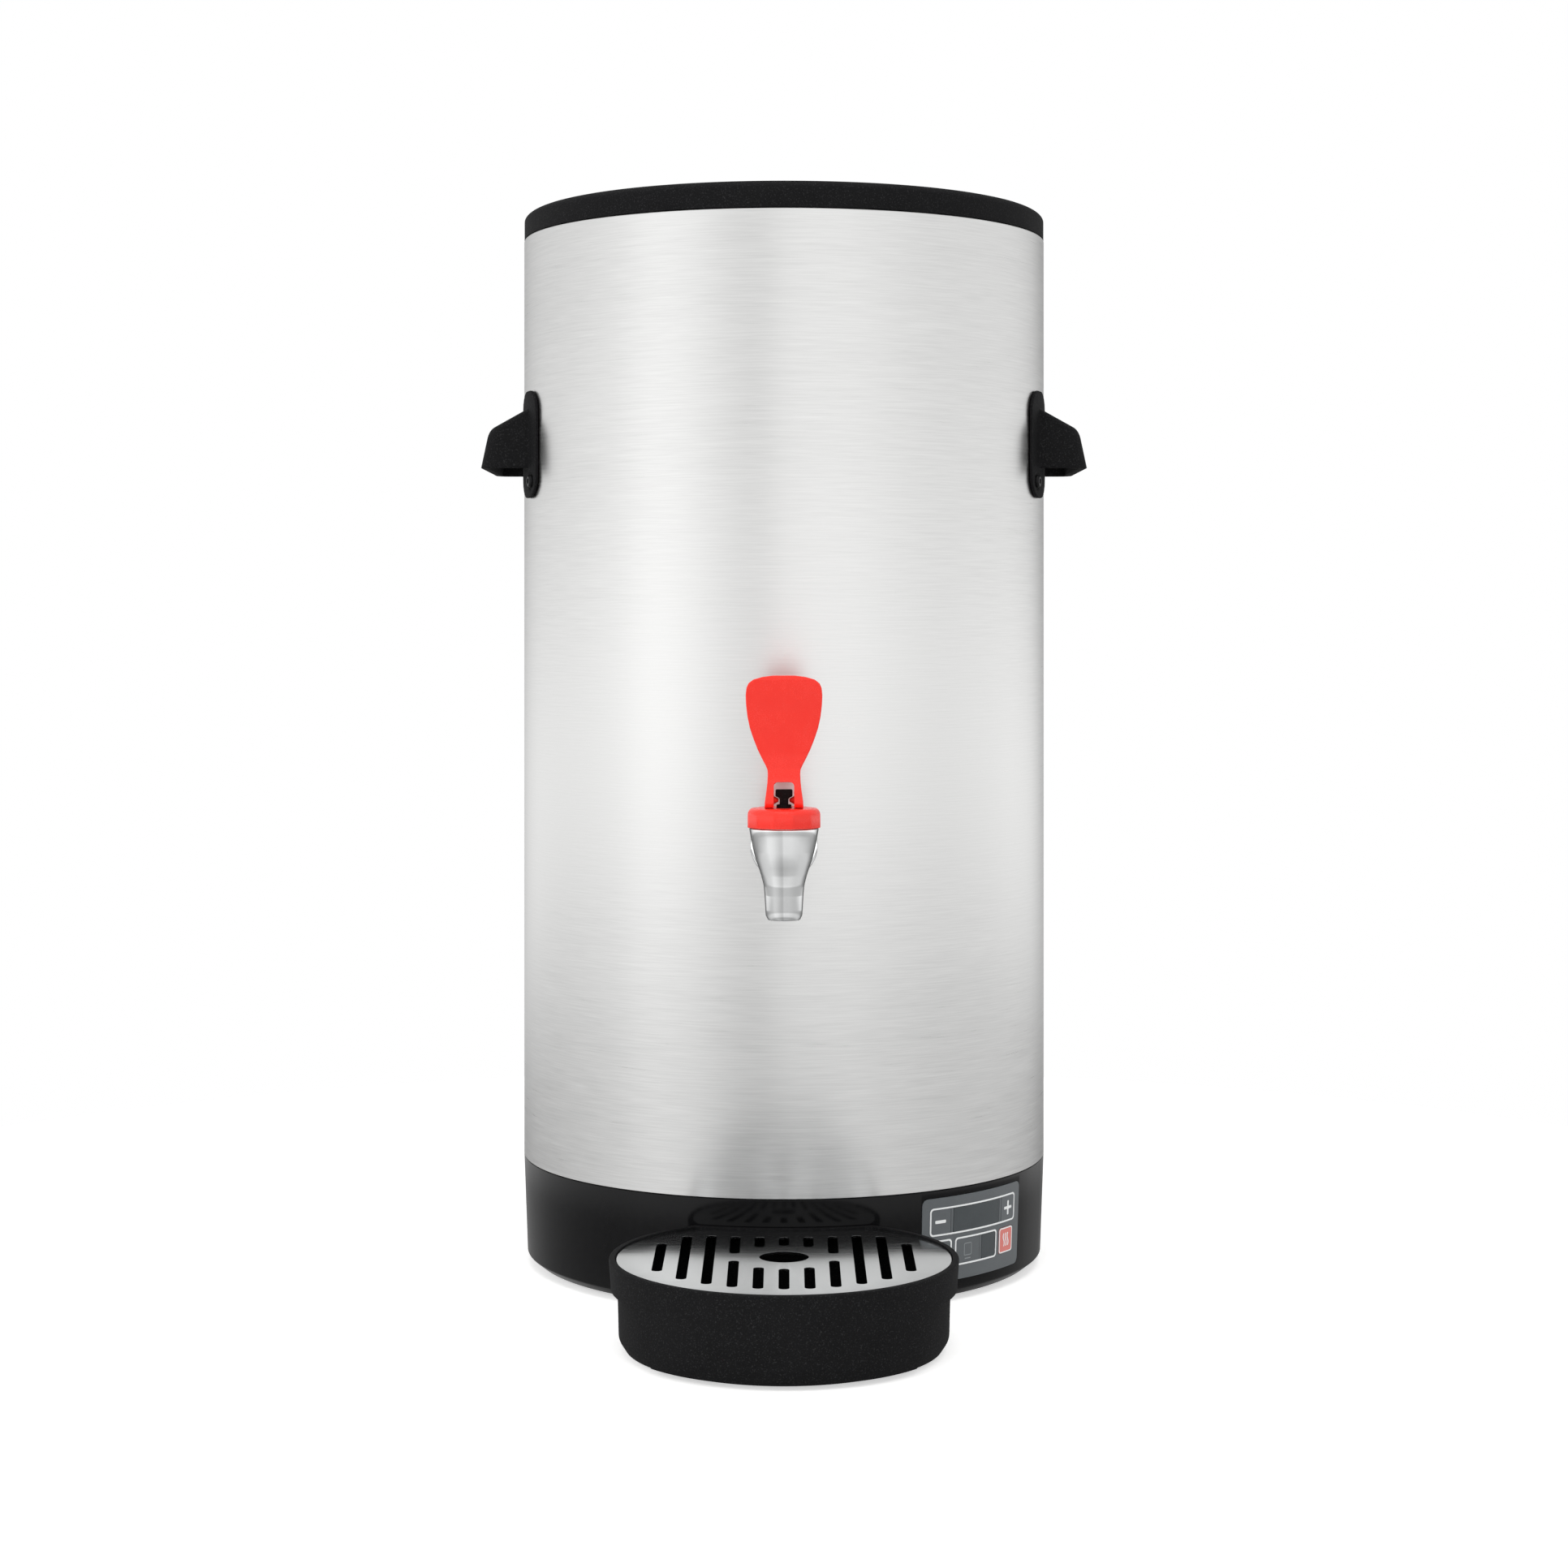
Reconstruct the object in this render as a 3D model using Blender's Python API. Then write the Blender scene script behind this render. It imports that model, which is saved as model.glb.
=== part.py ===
"""Hot water dispenser: a round steel tank body on a plastic base, with a lever tap,
a drip tray and a control panel.

Metres, +Z up, the front towards -Y. The origin lies on the counter, under the
middle of the footprint. Inside the script every piece is laid out round the
body's own axis, and one empty carries the whole machine to its place.
Azimuths are in degrees, counted from the front (-Y) towards the right (+X).
"""

import math

import bmesh
import bpy
from mathutils import Matrix, Vector

# Clearances
SEAT_GAP = 0.0003
RUN_GAP = 0.0005
CUT_OVERRUN = 0.002
MERGE_DISTANCE = 0.000001
WELD_DISTANCE = 0.00001

# Facets round the turned pieces
BODY_STEPS = 60
TANK_STEPS = 36
TRAY_STEPS = 48
SMALL_STEPS = 16
TINY_STEPS = 8
CORNER_STEPS = 3
SHARP_ANGLE = 35
TAP_ROUND_STEPS = 24

# Body shell
BODY_RADIUS = 0.150
SHELL_HEIGHT = 0.5239
SHELL_WALL = 0.0008
SHELL_RIM_WIDTH = 0.009

# Base housing
BASE_LIFT = 0.002
BASE_HEIGHT = 0.0594
BASE_WALL = 0.0035
BASE_DRAFT = 0.002
BASE_CHAMFER_WIDTH = 0.0055
BASE_CHAMFER_HEIGHT = 0.0043
BASE_LEDGE_WIDTH = 0.0145
BASE_LEDGE_THICKNESS = 0.0035
SPIGOT_RISE = 0.012
SPIGOT_WALL = 0.0025

# Base plate, its screws and its feet
PLATE_THICKNESS = 0.0015
PLATE_EDGE_GAP = 0.0005
BASE_SCREW_AZIMUTHS = (0, 120, 240)
BASE_SCREW_INSET = 0.0068
BASE_SCREW_LENGTH = 0.0042
FOOT_INSET = 0.038
FOOT_RADIUS = 0.011
FOOT_EDGE = 0.001
FOOT_STEM_RADIUS = 0.004
FOOT_STEM_RISE = 0.003
FOOT_PLACES = (
    ("foot_front_right", 45),
    ("foot_rear_right", 135),
    ("foot_rear_left", 225),
    ("foot_front_left", 315),
)

# Screws: shaft, head, and the head's height
SCREW_RADIUS = 0.0018
SCREW_HEAD_RADIUS = 0.0036
SCREW_HEAD_HEIGHT = 0.0018
SCREW_SOCKET_RADIUS = 0.0016
SCREW_SOCKET_DEPTH = 0.001

# Tank, its support and its insulation
TANK_INSET = 0.025
TANK_WALL = 0.0012
TANK_FLOOR_RISE = 0.1336
TANK_CORNER = 0.010
TANK_FLANGE_GAP = 0.0035
SUPPORT_INSET = 0.020
SUPPORT_WALL = 0.0015
SUPPORT_FOOT_WIDTH = 0.010
SUPPORT_WINDOW_EDGE = 0.021
SUPPORT_WINDOW_HEIGHT = 0.062
SUPPORT_WINDOW_RISE = 0.008
JACKET_OUTER_GAP = 0.0087
JACKET_END_GAP = 0.012

# Lid
LID_SIDE_HEIGHT = 0.0104
LID_EDGE_RISE = 0.0045
LID_EDGE_WIDTH = 0.0082
LID_RADIUS_GAP = 0.00015
LID_WALL = 0.0025
LID_RIM_WIDTH = 0.0038
LID_DISH_DEPTH = 0.003
LID_DISH_SLOPE_WIDTH = 0.003
LID_PLUG_LENGTH = 0.018
LID_PLUG_GAP = 0.0013
LID_LIFT = 0.150
GRIP_HOLLOW_RADIUS = 0.045
GRIP_HOLLOW_DEPTH = 0.014
GRIP_HOLLOW_DRAFT = 0.002
GRIP_BAR_WIDTH = 0.012
SEAL_OFFSET = 0.003
SEAL_WIDTH = 0.006

# Handles: two ears on the shell and the scoop for the fingers between them
HANDLE_DROP = 0.0888
HANDLE_FLANGE_HEIGHT = 0.0603
HANDLE_FLANGE_HALF_ANGLE = 24.2
HANDLE_EAR_INNER_ANGLE = 12.5
HANDLE_FLANGE_THICKNESS = 0.0018
HANDLE_FLANGE_CORNER = 0.012
HANDLE_REACH = 0.0213
HANDLE_HALF_WIDTH = 0.050
HANDLE_WALL = 0.003
HANDLE_CORNER = 0.0065
HANDLE_CEILING = 0.0035
HOOD_DROP = 0.0097
HOOD_HEIGHT = 0.0337
HOOD_ROOT_DEPTH = 0.025
HOOD_PROFILE_SHARES = (
    (1.00, 0.00),
    (0.93, 0.205),
    (0.86, 0.41),
    (0.82, 0.52),
    (0.75, 0.61),
    (0.66, 0.676),
    (0.30, 0.801),
    (-0.25, 1.00),
)
HANDLE_SCREW_ANGLE = 20.5
HANDLE_SCREW_RISE = 0.0092
HANDLE_SCREW_LENGTH = 0.009
HANDLE_SCREW_POCKET_RADIUS = 0.0044
HANDLE_SCREW_POCKET_HEIGHT = 0.0105
HANDLE_SCREW_POCKET_DEPTH = 0.0006
HOOD_EDGE_GAP = 0.0006

# Tap: its place on the shell, then its body from the spout up
TAP_REACH = 0.066
TAP_HEIGHT = 0.1873
SHANK_RADIUS = 0.008
SHANK_BORE_RADIUS = 0.0055
SHANK_INSIDE = 0.0125
GASKET_THICKNESS = 0.002
GASKET_RADIUS = 0.015
TAP_FLANGE_RADIUS = 0.0178
TAP_FLANGE_THICKNESS = 0.004
TAP_FLANGE_EDGE = 0.001
TAP_NECK_RADIUS = 0.0095
TAP_CUP_RADIUS = 0.0176
TAP_BODY_HEIGHT = 0.0464
TAP_SPOUT_DROP = 0.0328
TAP_PROFILE_SHARES = (
    (0.460, 0.000),
    (0.524, 0.050),
    (0.536, 0.110),
    (0.560, 0.270),
    (0.586, 0.380),
    (0.662, 0.490),
    (0.740, 0.580),
    (0.815, 0.660),
    (0.870, 0.740),
    (0.915, 0.820),
    (0.962, 0.910),
    (1.000, 1.000),
)
TAP_COLLAR_RADIUS = 0.0152
TAP_COLLAR_HEIGHT = 0.0055
TAP_CHAMBER_RADIUS = 0.013
TAP_SPOUT_BORE_RADIUS = 0.0065
TAP_SEAT_RISE = 0.0218
TAP_SEAT_POCKET_HEIGHT = 0.008
TAP_SEAT_POCKET_FLARE = 0.006

# Nut and washer that hold the tap from inside the tank
SHANK_NUT_RADIUS = 0.0139
SHANK_NUT_THICKNESS = 0.006
WASHER_RADIUS = 0.0130
WASHER_THICKNESS = 0.0015

# Bonnet
BONNET_SIDES = 12
BONNET_RADIUS = 0.019
BONNET_HEIGHT = 0.0098
BONNET_CROWN = 0.0031
BONNET_EDGE = 0.0034

# Stem, seat cup and closing spring
STEM_RADIUS = 0.00375
STEM_FLANGE_RADIUS = 0.0075
STEM_FLANGE_THICKNESS = 0.002
STEM_PIN_RADIUS = 0.003
STEM_PIN_LENGTH = 0.009
STEM_NECK_HALF = 0.0022
STEM_HEAD_HALF = 0.0043
STEM_HEAD_DEPTH = 0.005
STEM_HEAD_RISE = 0.0093
STEM_HEAD_EDGE_RISE = 0.0060
STEM_NECK_TOP_RISE = 0.0049
STEM_SHOULDER_RISE = 0.0017
SEAT_CUP_RADIUS = 0.0096
SEAT_CUP_HEIGHT = 0.0114
SEAT_CUP_WALL = 0.0024
SPRING_RADIUS = 0.0062
SPRING_WIRE_RADIUS = 0.0006
SPRING_TURNS = 4
SPRING_POINTS_PER_TURN = 8

# Lever, seen from the front as half widths and from the side as reaches
LEVER_HEIGHT = 0.0668
LEVER_HALF_WIDTH = 0.0193
LEVER_FRONT_SHARES = (
    (0.510, 0.000),
    (0.500, 0.045),
    (0.468, 0.110),
    (0.436, 0.185),
    (0.424, 0.250),
    (0.432, 0.285),
    (0.480, 0.318),
    (0.575, 0.370),
    (0.690, 0.440),
    (0.798, 0.520),
    (0.890, 0.600),
    (0.955, 0.690),
    (0.990, 0.775),
    (1.000, 0.850),
    (0.980, 0.905),
    (0.925, 0.940),
    (0.800, 0.968),
    (0.560, 0.988),
    (0.280, 0.998),
)
LEVER_REACH = 0.0098
LEVER_SIDE_FRONT_SHARES = (
    (0.800, 0.130),
    (0.500, 0.220),
    (0.390, 0.290),
    (0.440, 0.400),
    (0.560, 0.550),
    (0.720, 0.720),
    (0.900, 0.880),
    (0.980, 0.970),
    (0.930, 1.000),
)
LEVER_SIDE_BACK_SHARES = (
    (0.700, 1.000),
    (0.500, 0.880),
    (0.300, 0.720),
    (0.110, 0.550),
    (-0.070, 0.400),
    (-0.200, 0.290),
    (-0.340, 0.200),
    (-0.520, 0.100),
    (-0.560, 0.030),
    (-0.520, 0.000),
)
LEVER_WINDOW_HALF = 0.0051
LEVER_WINDOW_HEIGHT = 0.0129
LEVER_WINDOW_CORNER = 0.002
HEEL_FORWARD = 0.007
HEEL_RADIUS = 0.0028
EAR_RISE = 0.0039
EAR_ROOT_RADIUS = 0.0022
EAR_TIP_RADIUS = 0.0008
EAR_TIP_HALF = 0.0027
EAR_SINK = 0.001

# Drip tray, a round tub whose back follows the base, with a recess for the fingers on each side
TRAY_HEIGHT = 0.0465
TRAY_RIM_RADIUS = 0.0884
TRAY_RIM_HEIGHT = 0.0154
TRAY_RIM_EDGE = 0.0006
TRAY_NECK_STEP = 0.0044
TRAY_NECK_FILLET = 0.0024
TRAY_LOW_STEP = 0.0050
TRAY_LOW_HEIGHT = 0.00675
TRAY_FOOT_STEP = 0.0094
TRAY_CHAMFER_STEP = 0.0025
TRAY_CHAMFER_HEIGHT = 0.0097
TRAY_LIP_STEP = 0.0053
TRAY_LIP_HEIGHT = 0.0027
TRAY_BOTTOM_STEP = 0.0144
TRAY_RECESS_FRONT_STEP = 0.0364
TRAY_RECESS_CORNER = 0.0075
TRAY_WALL = 0.0025
TRAY_FLOOR = 0.003
TRAY_LEDGE_WIDTH = 0.0025
TRAY_TRAVEL = 0.120

# Drip grille
GRILLE_THICKNESS = 0.0012
GRILLE_SINK = 0.0007
GRILLE_RIM_STEP = 0.00365
GRILLE_EDGE_GAP = 0.0004
GRILLE_BACK_RIM = 0.0035
SLOT_PITCH = 0.0126
SLOT_WIDTH = 0.0053
SLOT_COUNT_PER_SIDE = 5
SLOT_FIELD_MARGIN = 0.01405
SLOT_BACK_MARGIN = 0.0160
SLOT_CLEAR_RADIUS = 0.0265
DRAIN_HOLE_RADIUS = 0.0125
GRILLE_LIFT = 0.060

# Control panel on the base's right side
PANEL_AZIMUTHS = (29.6, 60.3)
PANEL_DROP = 0.0041
PANEL_HEIGHT = 0.0457
PANEL_CORNER = 0.004
PANEL_RECESS = 0.0009
FOIL_THICKNESS = 0.0008
KEY_PROUD = 0.0001
KEY_TRAVEL = 0.0005
KEY_CORNER = 0.0015
KEY_FLANGE_WIDTH = 0.0008
KEY_FLANGE_THICKNESS = 0.0006
KEY_POCKET_DEPTH = 0.0016
ROW_HEIGHT = 0.0138
UPPER_ROW_DROP = 0.0101
LOWER_ROW_DROP = 0.0277
KEY_PLACES = (
    ("key_minus", (31.7, 36.9), UPPER_ROW_DROP),
    ("key_plus", (52.8, 57.9), UPPER_ROW_DROP),
    ("key_power", (31.7, 37.0), LOWER_ROW_DROP),
    ("key_cup", (38.4, 45.4), LOWER_ROW_DROP),
    ("key_boil", (52.3, 57.5), LOWER_ROW_DROP),
)
WINDOW_PLACES = (
    ("display_window", (37.7, 52.0), UPPER_ROW_DROP),
    ("indicator_window", (46.2, 50.8), LOWER_ROW_DROP),
)
DISPLAY_MARGIN_ANGLE = 0.6
DISPLAY_MARGIN = 0.0012
PATCH_STEP_ANGLE = 6

# Boards behind the panel and on the base plate
CONTROL_BOARD_DEPTH = 0.0125
CONTROL_BOARD_THICKNESS = 0.0016
CONTROL_BOARD_BOTTOM = 0.013
CONTROL_BOARD_HEIGHT = 0.041
DISPLAY_MODULE_WIDTH = 0.036
DISPLAY_MODULE_HEIGHT = 0.0125
DISPLAY_MODULE_GAP = 0.0020
POWER_BOARD_CENTRE = (-0.010, -0.042)
POWER_BOARD_SIZE = (0.088, 0.060)
POWER_BOARD_THICKNESS = 0.0016
STANDOFF_HEIGHT = 0.008
STANDOFF_RADIUS = 0.003
STANDOFF_INSET = 0.006
RELAY_SIZE = (0.020, 0.016, 0.018)
RELAY_PITCH = 0.026
RELAY_COUNT = 3

# Connections at the back: fresh water and the power cord's gland
BACK_FITTING_HEIGHT = 0.038
INLET_OFFSET = 0.030
GLAND_OFFSET = 0.030
BOSS_DEPTH = 0.012
INLET_BOSS_RADIUS = 0.0205
GLAND_BOSS_RADIUS = 0.0150
INLET_REACH = 0.018
INLET_RADIUS = 0.0132
INLET_BORE_RADIUS = 0.008
INLET_BORE_DEPTH = 0.014
INLET_COLLAR_RADIUS = 0.0165
INLET_COLLAR_THICKNESS = 0.003
INLET_NUT_RADIUS = 0.0190
INLET_NUT_THICKNESS = 0.007
GLAND_THREAD_RADIUS = 0.008
GLAND_HEX_RADIUS = 0.0120
GLAND_HEX_THICKNESS = 0.005
GLAND_DOME_RADIUS = 0.0100
GLAND_DOME_LENGTH = 0.011
GLAND_DOME_TIP_RADIUS = 0.0075
GLAND_BORE_RADIUS = 0.0045
GLAND_NUT_THICKNESS = 0.004
GLAND_THREAD_INSIDE = 0.007

# Filling valve with its coil and hose
VALVE_SIZE = (0.028, 0.0255, 0.028)
VALVE_BARB_RADIUS = 0.005
VALVE_BARB_LENGTH = 0.0105
COIL_SIZE = (0.026, 0.022, 0.026)
HOSE_RADIUS = 0.0075
HOSE_BORE_RADIUS = 0.0056
HOSE_BEND_RADIUS = 0.020
HOSE_RISE_INSET = 0.047
STUB_LENGTH = 0.014
STUB_BORE_RADIUS = 0.0035

# Overflow pipe
OVERFLOW_INSET = 0.0328
OVERFLOW_AZIMUTH = 229.4
OVERFLOW_RADIUS = 0.006
OVERFLOW_BORE_RADIUS = 0.0048
OVERFLOW_BEND_RADIUS = 0.020
OVERFLOW_TOP_DROP = 0.0256
OVERFLOW_END_REACH = 0.010

# Heating element, its plug and the floor's other fittings
ELEMENT_RADIUS = 0.00425
ELEMENT_RISE = 0.030
ELEMENT_SIDE_INSET = 0.050
ELEMENT_FRONT_INSET = 0.065
ELEMENT_LEG_HALF = 0.008
ELEMENT_LEG_BEND = 0.012
ELEMENT_LOOP_BEND = 0.034
PLUG_Y = 0.030
PLUG_HEX_RADIUS = 0.024
PLUG_HEX_THICKNESS = 0.008
PLUG_NECK_RADIUS = 0.016
PLUG_NECK_RISE = 0.006
TERMINAL_RADIUS = 0.0025
TERMINAL_LENGTH = 0.014
PROBE_SIDE_SHARE = 0.256
PROBE_FRONT_SHARE = 0.2
PROBE_RADIUS = 0.003
PROBE_RISE = 0.070
PROBE_HEX_RADIUS = 0.007
PROBE_HEX_THICKNESS = 0.006
CUTOUT_SIDE_SHARE = 0.304
CUTOUT_FRONT_SHARE = 0.2
CUTOUT_RADIUS = 0.009
CUTOUT_THICKNESS = 0.007
CUTOUT_TAB_HALF = 0.003
CUTOUT_TAB_REACH = 0.014
CUTOUT_TAB_THICKNESS = 0.001

# Level electrodes and the block that holds them on the tank's back wall
HOLDER_SIZE = (0.030, 0.014, 0.016)
HOLDER_TOP_DROP = 0.0170
ELECTRODE_RADIUS = 0.002
ELECTRODE_HALF_SPACING = 0.009
ELECTRODE_HEAD_RADIUS = 0.0035
ELECTRODE_HEAD_HEIGHT = 0.002
ELECTRODE_LENGTHS = (("electrode_full", -1, 0.034), ("electrode_low", 1, 0.270))

# Levels and places that follow from the sizes above
BASE_TOP = BASE_LIFT + BASE_HEIGHT
BASE_WALL_BOTTOM = BASE_LIFT + BASE_CHAMFER_HEIGHT
LEDGE_TOP = BASE_LIFT + BASE_LEDGE_THICKNESS
SHELL_BOTTOM = BASE_TOP + SEAT_GAP
SHELL_TOP = SHELL_BOTTOM + SHELL_HEIGHT
LID_BOTTOM = SHELL_TOP + SEAT_GAP
LID_TOP = LID_BOTTOM + LID_SIDE_HEIGHT + LID_EDGE_RISE
PLATE_BOTTOM = LEDGE_TOP + SEAT_GAP
PLATE_TOP = PLATE_BOTTOM + PLATE_THICKNESS
TANK_FLOOR = BASE_TOP + TANK_FLOOR_RISE
TANK_FLOOR_INSIDE = TANK_FLOOR + TANK_WALL
TANK_RADIUS = BODY_RADIUS - TANK_INSET
TANK_INNER_RADIUS = TANK_RADIUS - TANK_WALL
SUPPORT_RADIUS = TANK_RADIUS - SUPPORT_INSET
SUPPORT_WINDOW_WIDTH = 2 * (SUPPORT_RADIUS - SUPPORT_WINDOW_EDGE)
JACKET_THICKNESS = TANK_INSET - SHELL_WALL - SEAT_GAP - JACKET_OUTER_GAP
FOOT_CIRCLE_RADIUS = BODY_RADIUS - FOOT_INSET
SEAL_INNER_RADIUS = TANK_RADIUS + SEAL_OFFSET
HOSE_RISE_Y = TANK_RADIUS - HOSE_RISE_INSET
OVERFLOW_X = (TANK_RADIUS - OVERFLOW_INSET) * math.sin(math.radians(OVERFLOW_AZIMUTH))
OVERFLOW_Y = -(TANK_RADIUS - OVERFLOW_INSET) * math.cos(math.radians(OVERFLOW_AZIMUTH))
ELEMENT_HALF_WIDTH = TANK_RADIUS - ELEMENT_SIDE_INSET
ELEMENT_FRONT = ELEMENT_FRONT_INSET - TANK_RADIUS
PROBE_PLACE = (PROBE_SIDE_SHARE * TANK_RADIUS, -PROBE_FRONT_SHARE * TANK_RADIUS)
CUTOUT_PLACE = (-CUTOUT_SIDE_SHARE * TANK_RADIUS, -CUTOUT_FRONT_SHARE * TANK_RADIUS)
FLANGE_BOTTOM = SHELL_TOP + SEAT_GAP
FLANGE_TOP = FLANGE_BOTTOM + TANK_WALL
TAP_Y = -(BODY_RADIUS + TAP_REACH)
SHANK_Z = BASE_TOP + SEAT_GAP + TAP_HEIGHT
SPOUT_Z = SHANK_Z - TAP_SPOUT_DROP
CUP_TOP = SPOUT_Z + TAP_BODY_HEIGHT
BONNET_BOTTOM = CUP_TOP + SEAT_GAP
BONNET_TOP = BONNET_BOTTOM + BONNET_HEIGHT
BONNET_CEILING = BONNET_TOP - BONNET_CROWN
SEAT_RING_Z = SPOUT_Z + TAP_SEAT_RISE
SEAT_CUP_BOTTOM = SEAT_RING_Z + SEAT_GAP
SEAT_CUP_TOP = SEAT_CUP_BOTTOM + SEAT_CUP_HEIGHT
STEM_FLANGE_BOTTOM = SEAT_CUP_TOP + SEAT_GAP
STEM_FLANGE_TOP = STEM_FLANGE_BOTTOM + STEM_FLANGE_THICKNESS
LEVER_BOTTOM = BONNET_TOP + SEAT_GAP
HEEL_Z = LEVER_BOTTOM + HEEL_RADIUS
TRAY_BACK_RADIUS = BODY_RADIUS + SEAT_GAP
TRAY_NECK_RADIUS = TRAY_RIM_RADIUS - TRAY_NECK_STEP
TRAY_LOW_RADIUS = TRAY_RIM_RADIUS - TRAY_LOW_STEP
TRAY_FOOT_RADIUS = TRAY_RIM_RADIUS - TRAY_FOOT_STEP
TRAY_CHAMFER_RADIUS = TRAY_RIM_RADIUS - TRAY_CHAMFER_STEP
TRAY_LIP_RADIUS = TRAY_RIM_RADIUS - TRAY_LIP_STEP
TRAY_BOTTOM_RADIUS = TRAY_RIM_RADIUS - TRAY_BOTTOM_STEP
TRAY_RECESS_REACH = TRAY_RIM_RADIUS - TRAY_RECESS_FRONT_STEP
GRILLE_RADIUS = TRAY_RIM_RADIUS - GRILLE_RIM_STEP
SLOT_FIELD_RADIUS = GRILLE_RADIUS - SLOT_FIELD_MARGIN
GRILLE_TOP = TRAY_HEIGHT - GRILLE_SINK
GRILLE_BOTTOM = GRILLE_TOP - GRILLE_THICKNESS
GRILLE_SEAT = GRILLE_BOTTOM - SEAT_GAP
INLET_END_Y = BODY_RADIUS + INLET_REACH
FRONT_REACH = BODY_RADIUS + TAP_REACH + TRAY_RIM_RADIUS
FOOTPRINT_SHIFT = (FRONT_REACH - INLET_END_Y) / 2

for leftover in list(bpy.data.objects):
    bpy.data.objects.remove(leftover)

machine = bpy.data.objects.new("machine_frame", None)
machine.location = (0, FOOTPRINT_SHIFT, 0)
bpy.context.scene.collection.objects.link(machine)


# Materials

def finish(name, colour, roughness, metallic=0.0):
    """A plain surface finish."""
    material = bpy.data.materials.new(name)
    material.use_nodes = True
    shader = material.node_tree.nodes["Principled BSDF"]
    shader.inputs["Base Color"].default_value = (*colour, 1.0)
    shader.inputs["Roughness"].default_value = roughness
    shader.inputs["Metallic"].default_value = metallic
    return material


brushed_steel = finish("brushed_steel", (0.62, 0.62, 0.61), 0.32, 1.0)
polished_metal = finish("polished_metal", (0.72, 0.72, 0.71), 0.12, 1.0)
plain_steel = finish("plain_steel", (0.52, 0.52, 0.51), 0.40, 1.0)
brass = finish("brass", (0.60, 0.44, 0.20), 0.35, 1.0)
gloss_black = finish("gloss_black", (0.010, 0.010, 0.011), 0.18)
matt_black = finish("matt_black", (0.014, 0.014, 0.014), 0.62)
tap_red = finish("tap_red", (0.90, 0.045, 0.030), 0.38)
key_red = finish("key_red", (0.60, 0.14, 0.12), 0.45)
foil_grey = finish("foil_grey", (0.095, 0.105, 0.110), 0.45)
window_grey = finish("window_grey", (0.075, 0.085, 0.090), 0.30)
seal_rubber = finish("seal_rubber", (0.55, 0.55, 0.52), 0.70)
foot_rubber = finish("foot_rubber", (0.020, 0.020, 0.020), 0.85)
insulation_wool = finish("insulation_wool", (0.66, 0.62, 0.42), 0.95)
white_plastic = finish("white_plastic", (0.70, 0.70, 0.68), 0.50)
board_green = finish("board_green", (0.020, 0.110, 0.050), 0.50)


# Shapes, each returned as a bmesh

def arc(centre, radius, start, end, steps):
    """Points on a flat arc, with angles in degrees."""
    points = []
    for step in range(steps + 1):
        angle = math.radians(start + (end - start) * step / steps)
        points.append((centre[0] + radius * math.cos(angle), centre[1] + radius * math.sin(angle)))
    return points


def rounded_box(low, high, corner, steps=CORNER_STEPS):
    """The outline of a rectangle with round corners."""
    return (
        arc((high[0] - corner, high[1] - corner), corner, 0, 90, steps)
        + arc((low[0] + corner, high[1] - corner), corner, 90, 180, steps)
        + arc((low[0] + corner, low[1] + corner), corner, 180, 270, steps)
        + arc((high[0] - corner, low[1] + corner), corner, 270, 360, steps)
    )


def regular(sides, radius, centre=(0, 0), turn=0.0):
    """The corners of a regular polygon."""
    points = []
    for side in range(sides):
        angle = math.radians(turn) + math.tau * side / sides
        points.append((centre[0] + radius * math.cos(angle), centre[1] + radius * math.sin(angle)))
    return points


def tidy(bm):
    """Merges doubled points and turns all faces outwards."""
    bmesh.ops.remove_doubles(bm, verts=bm.verts, dist=MERGE_DISTANCE)
    bmesh.ops.recalc_face_normals(bm, faces=bm.faces)
    return bm


def turned(profile, steps, centre=(0, 0)):
    """A solid turned round a vertical axis from its half section."""
    bm = bmesh.new()
    verts = [bm.verts.new((centre[0] + radius, centre[1], height)) for radius, height in profile]
    edges = [bm.edges.new(pair) for pair in zip(verts[:-1], verts[1:])]
    if profile[0][0] > 0 or profile[-1][0] > 0:
        edges.append(bm.edges.new((verts[-1], verts[0])))
    bmesh.ops.spin(
        bm, geom=verts + edges, cent=(*centre, 0), axis=(0, 0, 1), angle=math.tau, steps=steps, use_merge=True
    )
    tidy(bm)
    middle = Vector((*centre, 0))
    hubs = [vert for vert in bm.verts if (vert.co - middle).xy.length < MERGE_DISTANCE and flat_round(vert)]
    bmesh.ops.dissolve_verts(bm, verts=hubs)
    return bm


def flat_round(vert):
    """Whether all the faces round a point lie level."""
    return all(abs(edge.other_vert(vert).co.z - vert.co.z) < MERGE_DISTANCE for edge in vert.link_edges)


def extruded(outline, low, high, along="Z"):
    """An outline pushed along one axis: (x, y) along Z, (x, z) along Y, (y, z) along X."""
    place = {
        "Z": lambda a, b, depth: (a, b, depth),
        "Y": lambda a, b, depth: (a, depth, b),
        "X": lambda a, b, depth: (depth, a, b),
    }[along]
    bm = bmesh.new()
    face = bm.faces.new([bm.verts.new(place(a, b, low)) for a, b in outline])
    pushed = bmesh.ops.extrude_face_region(bm, geom=[face], use_keep_orig=True)
    moved = [item for item in pushed["geom"] if isinstance(item, bmesh.types.BMVert)]
    bmesh.ops.translate(bm, verts=moved, vec=Vector(place(0, 0, high - low)))
    return tidy(bm)


def lofted(rings):
    """A closed solid through rings with the same number of points."""
    bm = bmesh.new()
    loops = [[bm.verts.new(point) for point in ring] for ring in rings]
    count = len(loops[0])
    for lower, upper in zip(loops[:-1], loops[1:]):
        for index in range(count):
            after = (index + 1) % count
            bm.faces.new((lower[index], lower[after], upper[after], upper[index]))
    bm.faces.new(loops[0])
    bm.faces.new(loops[-1])
    return tidy(bm)


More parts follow.
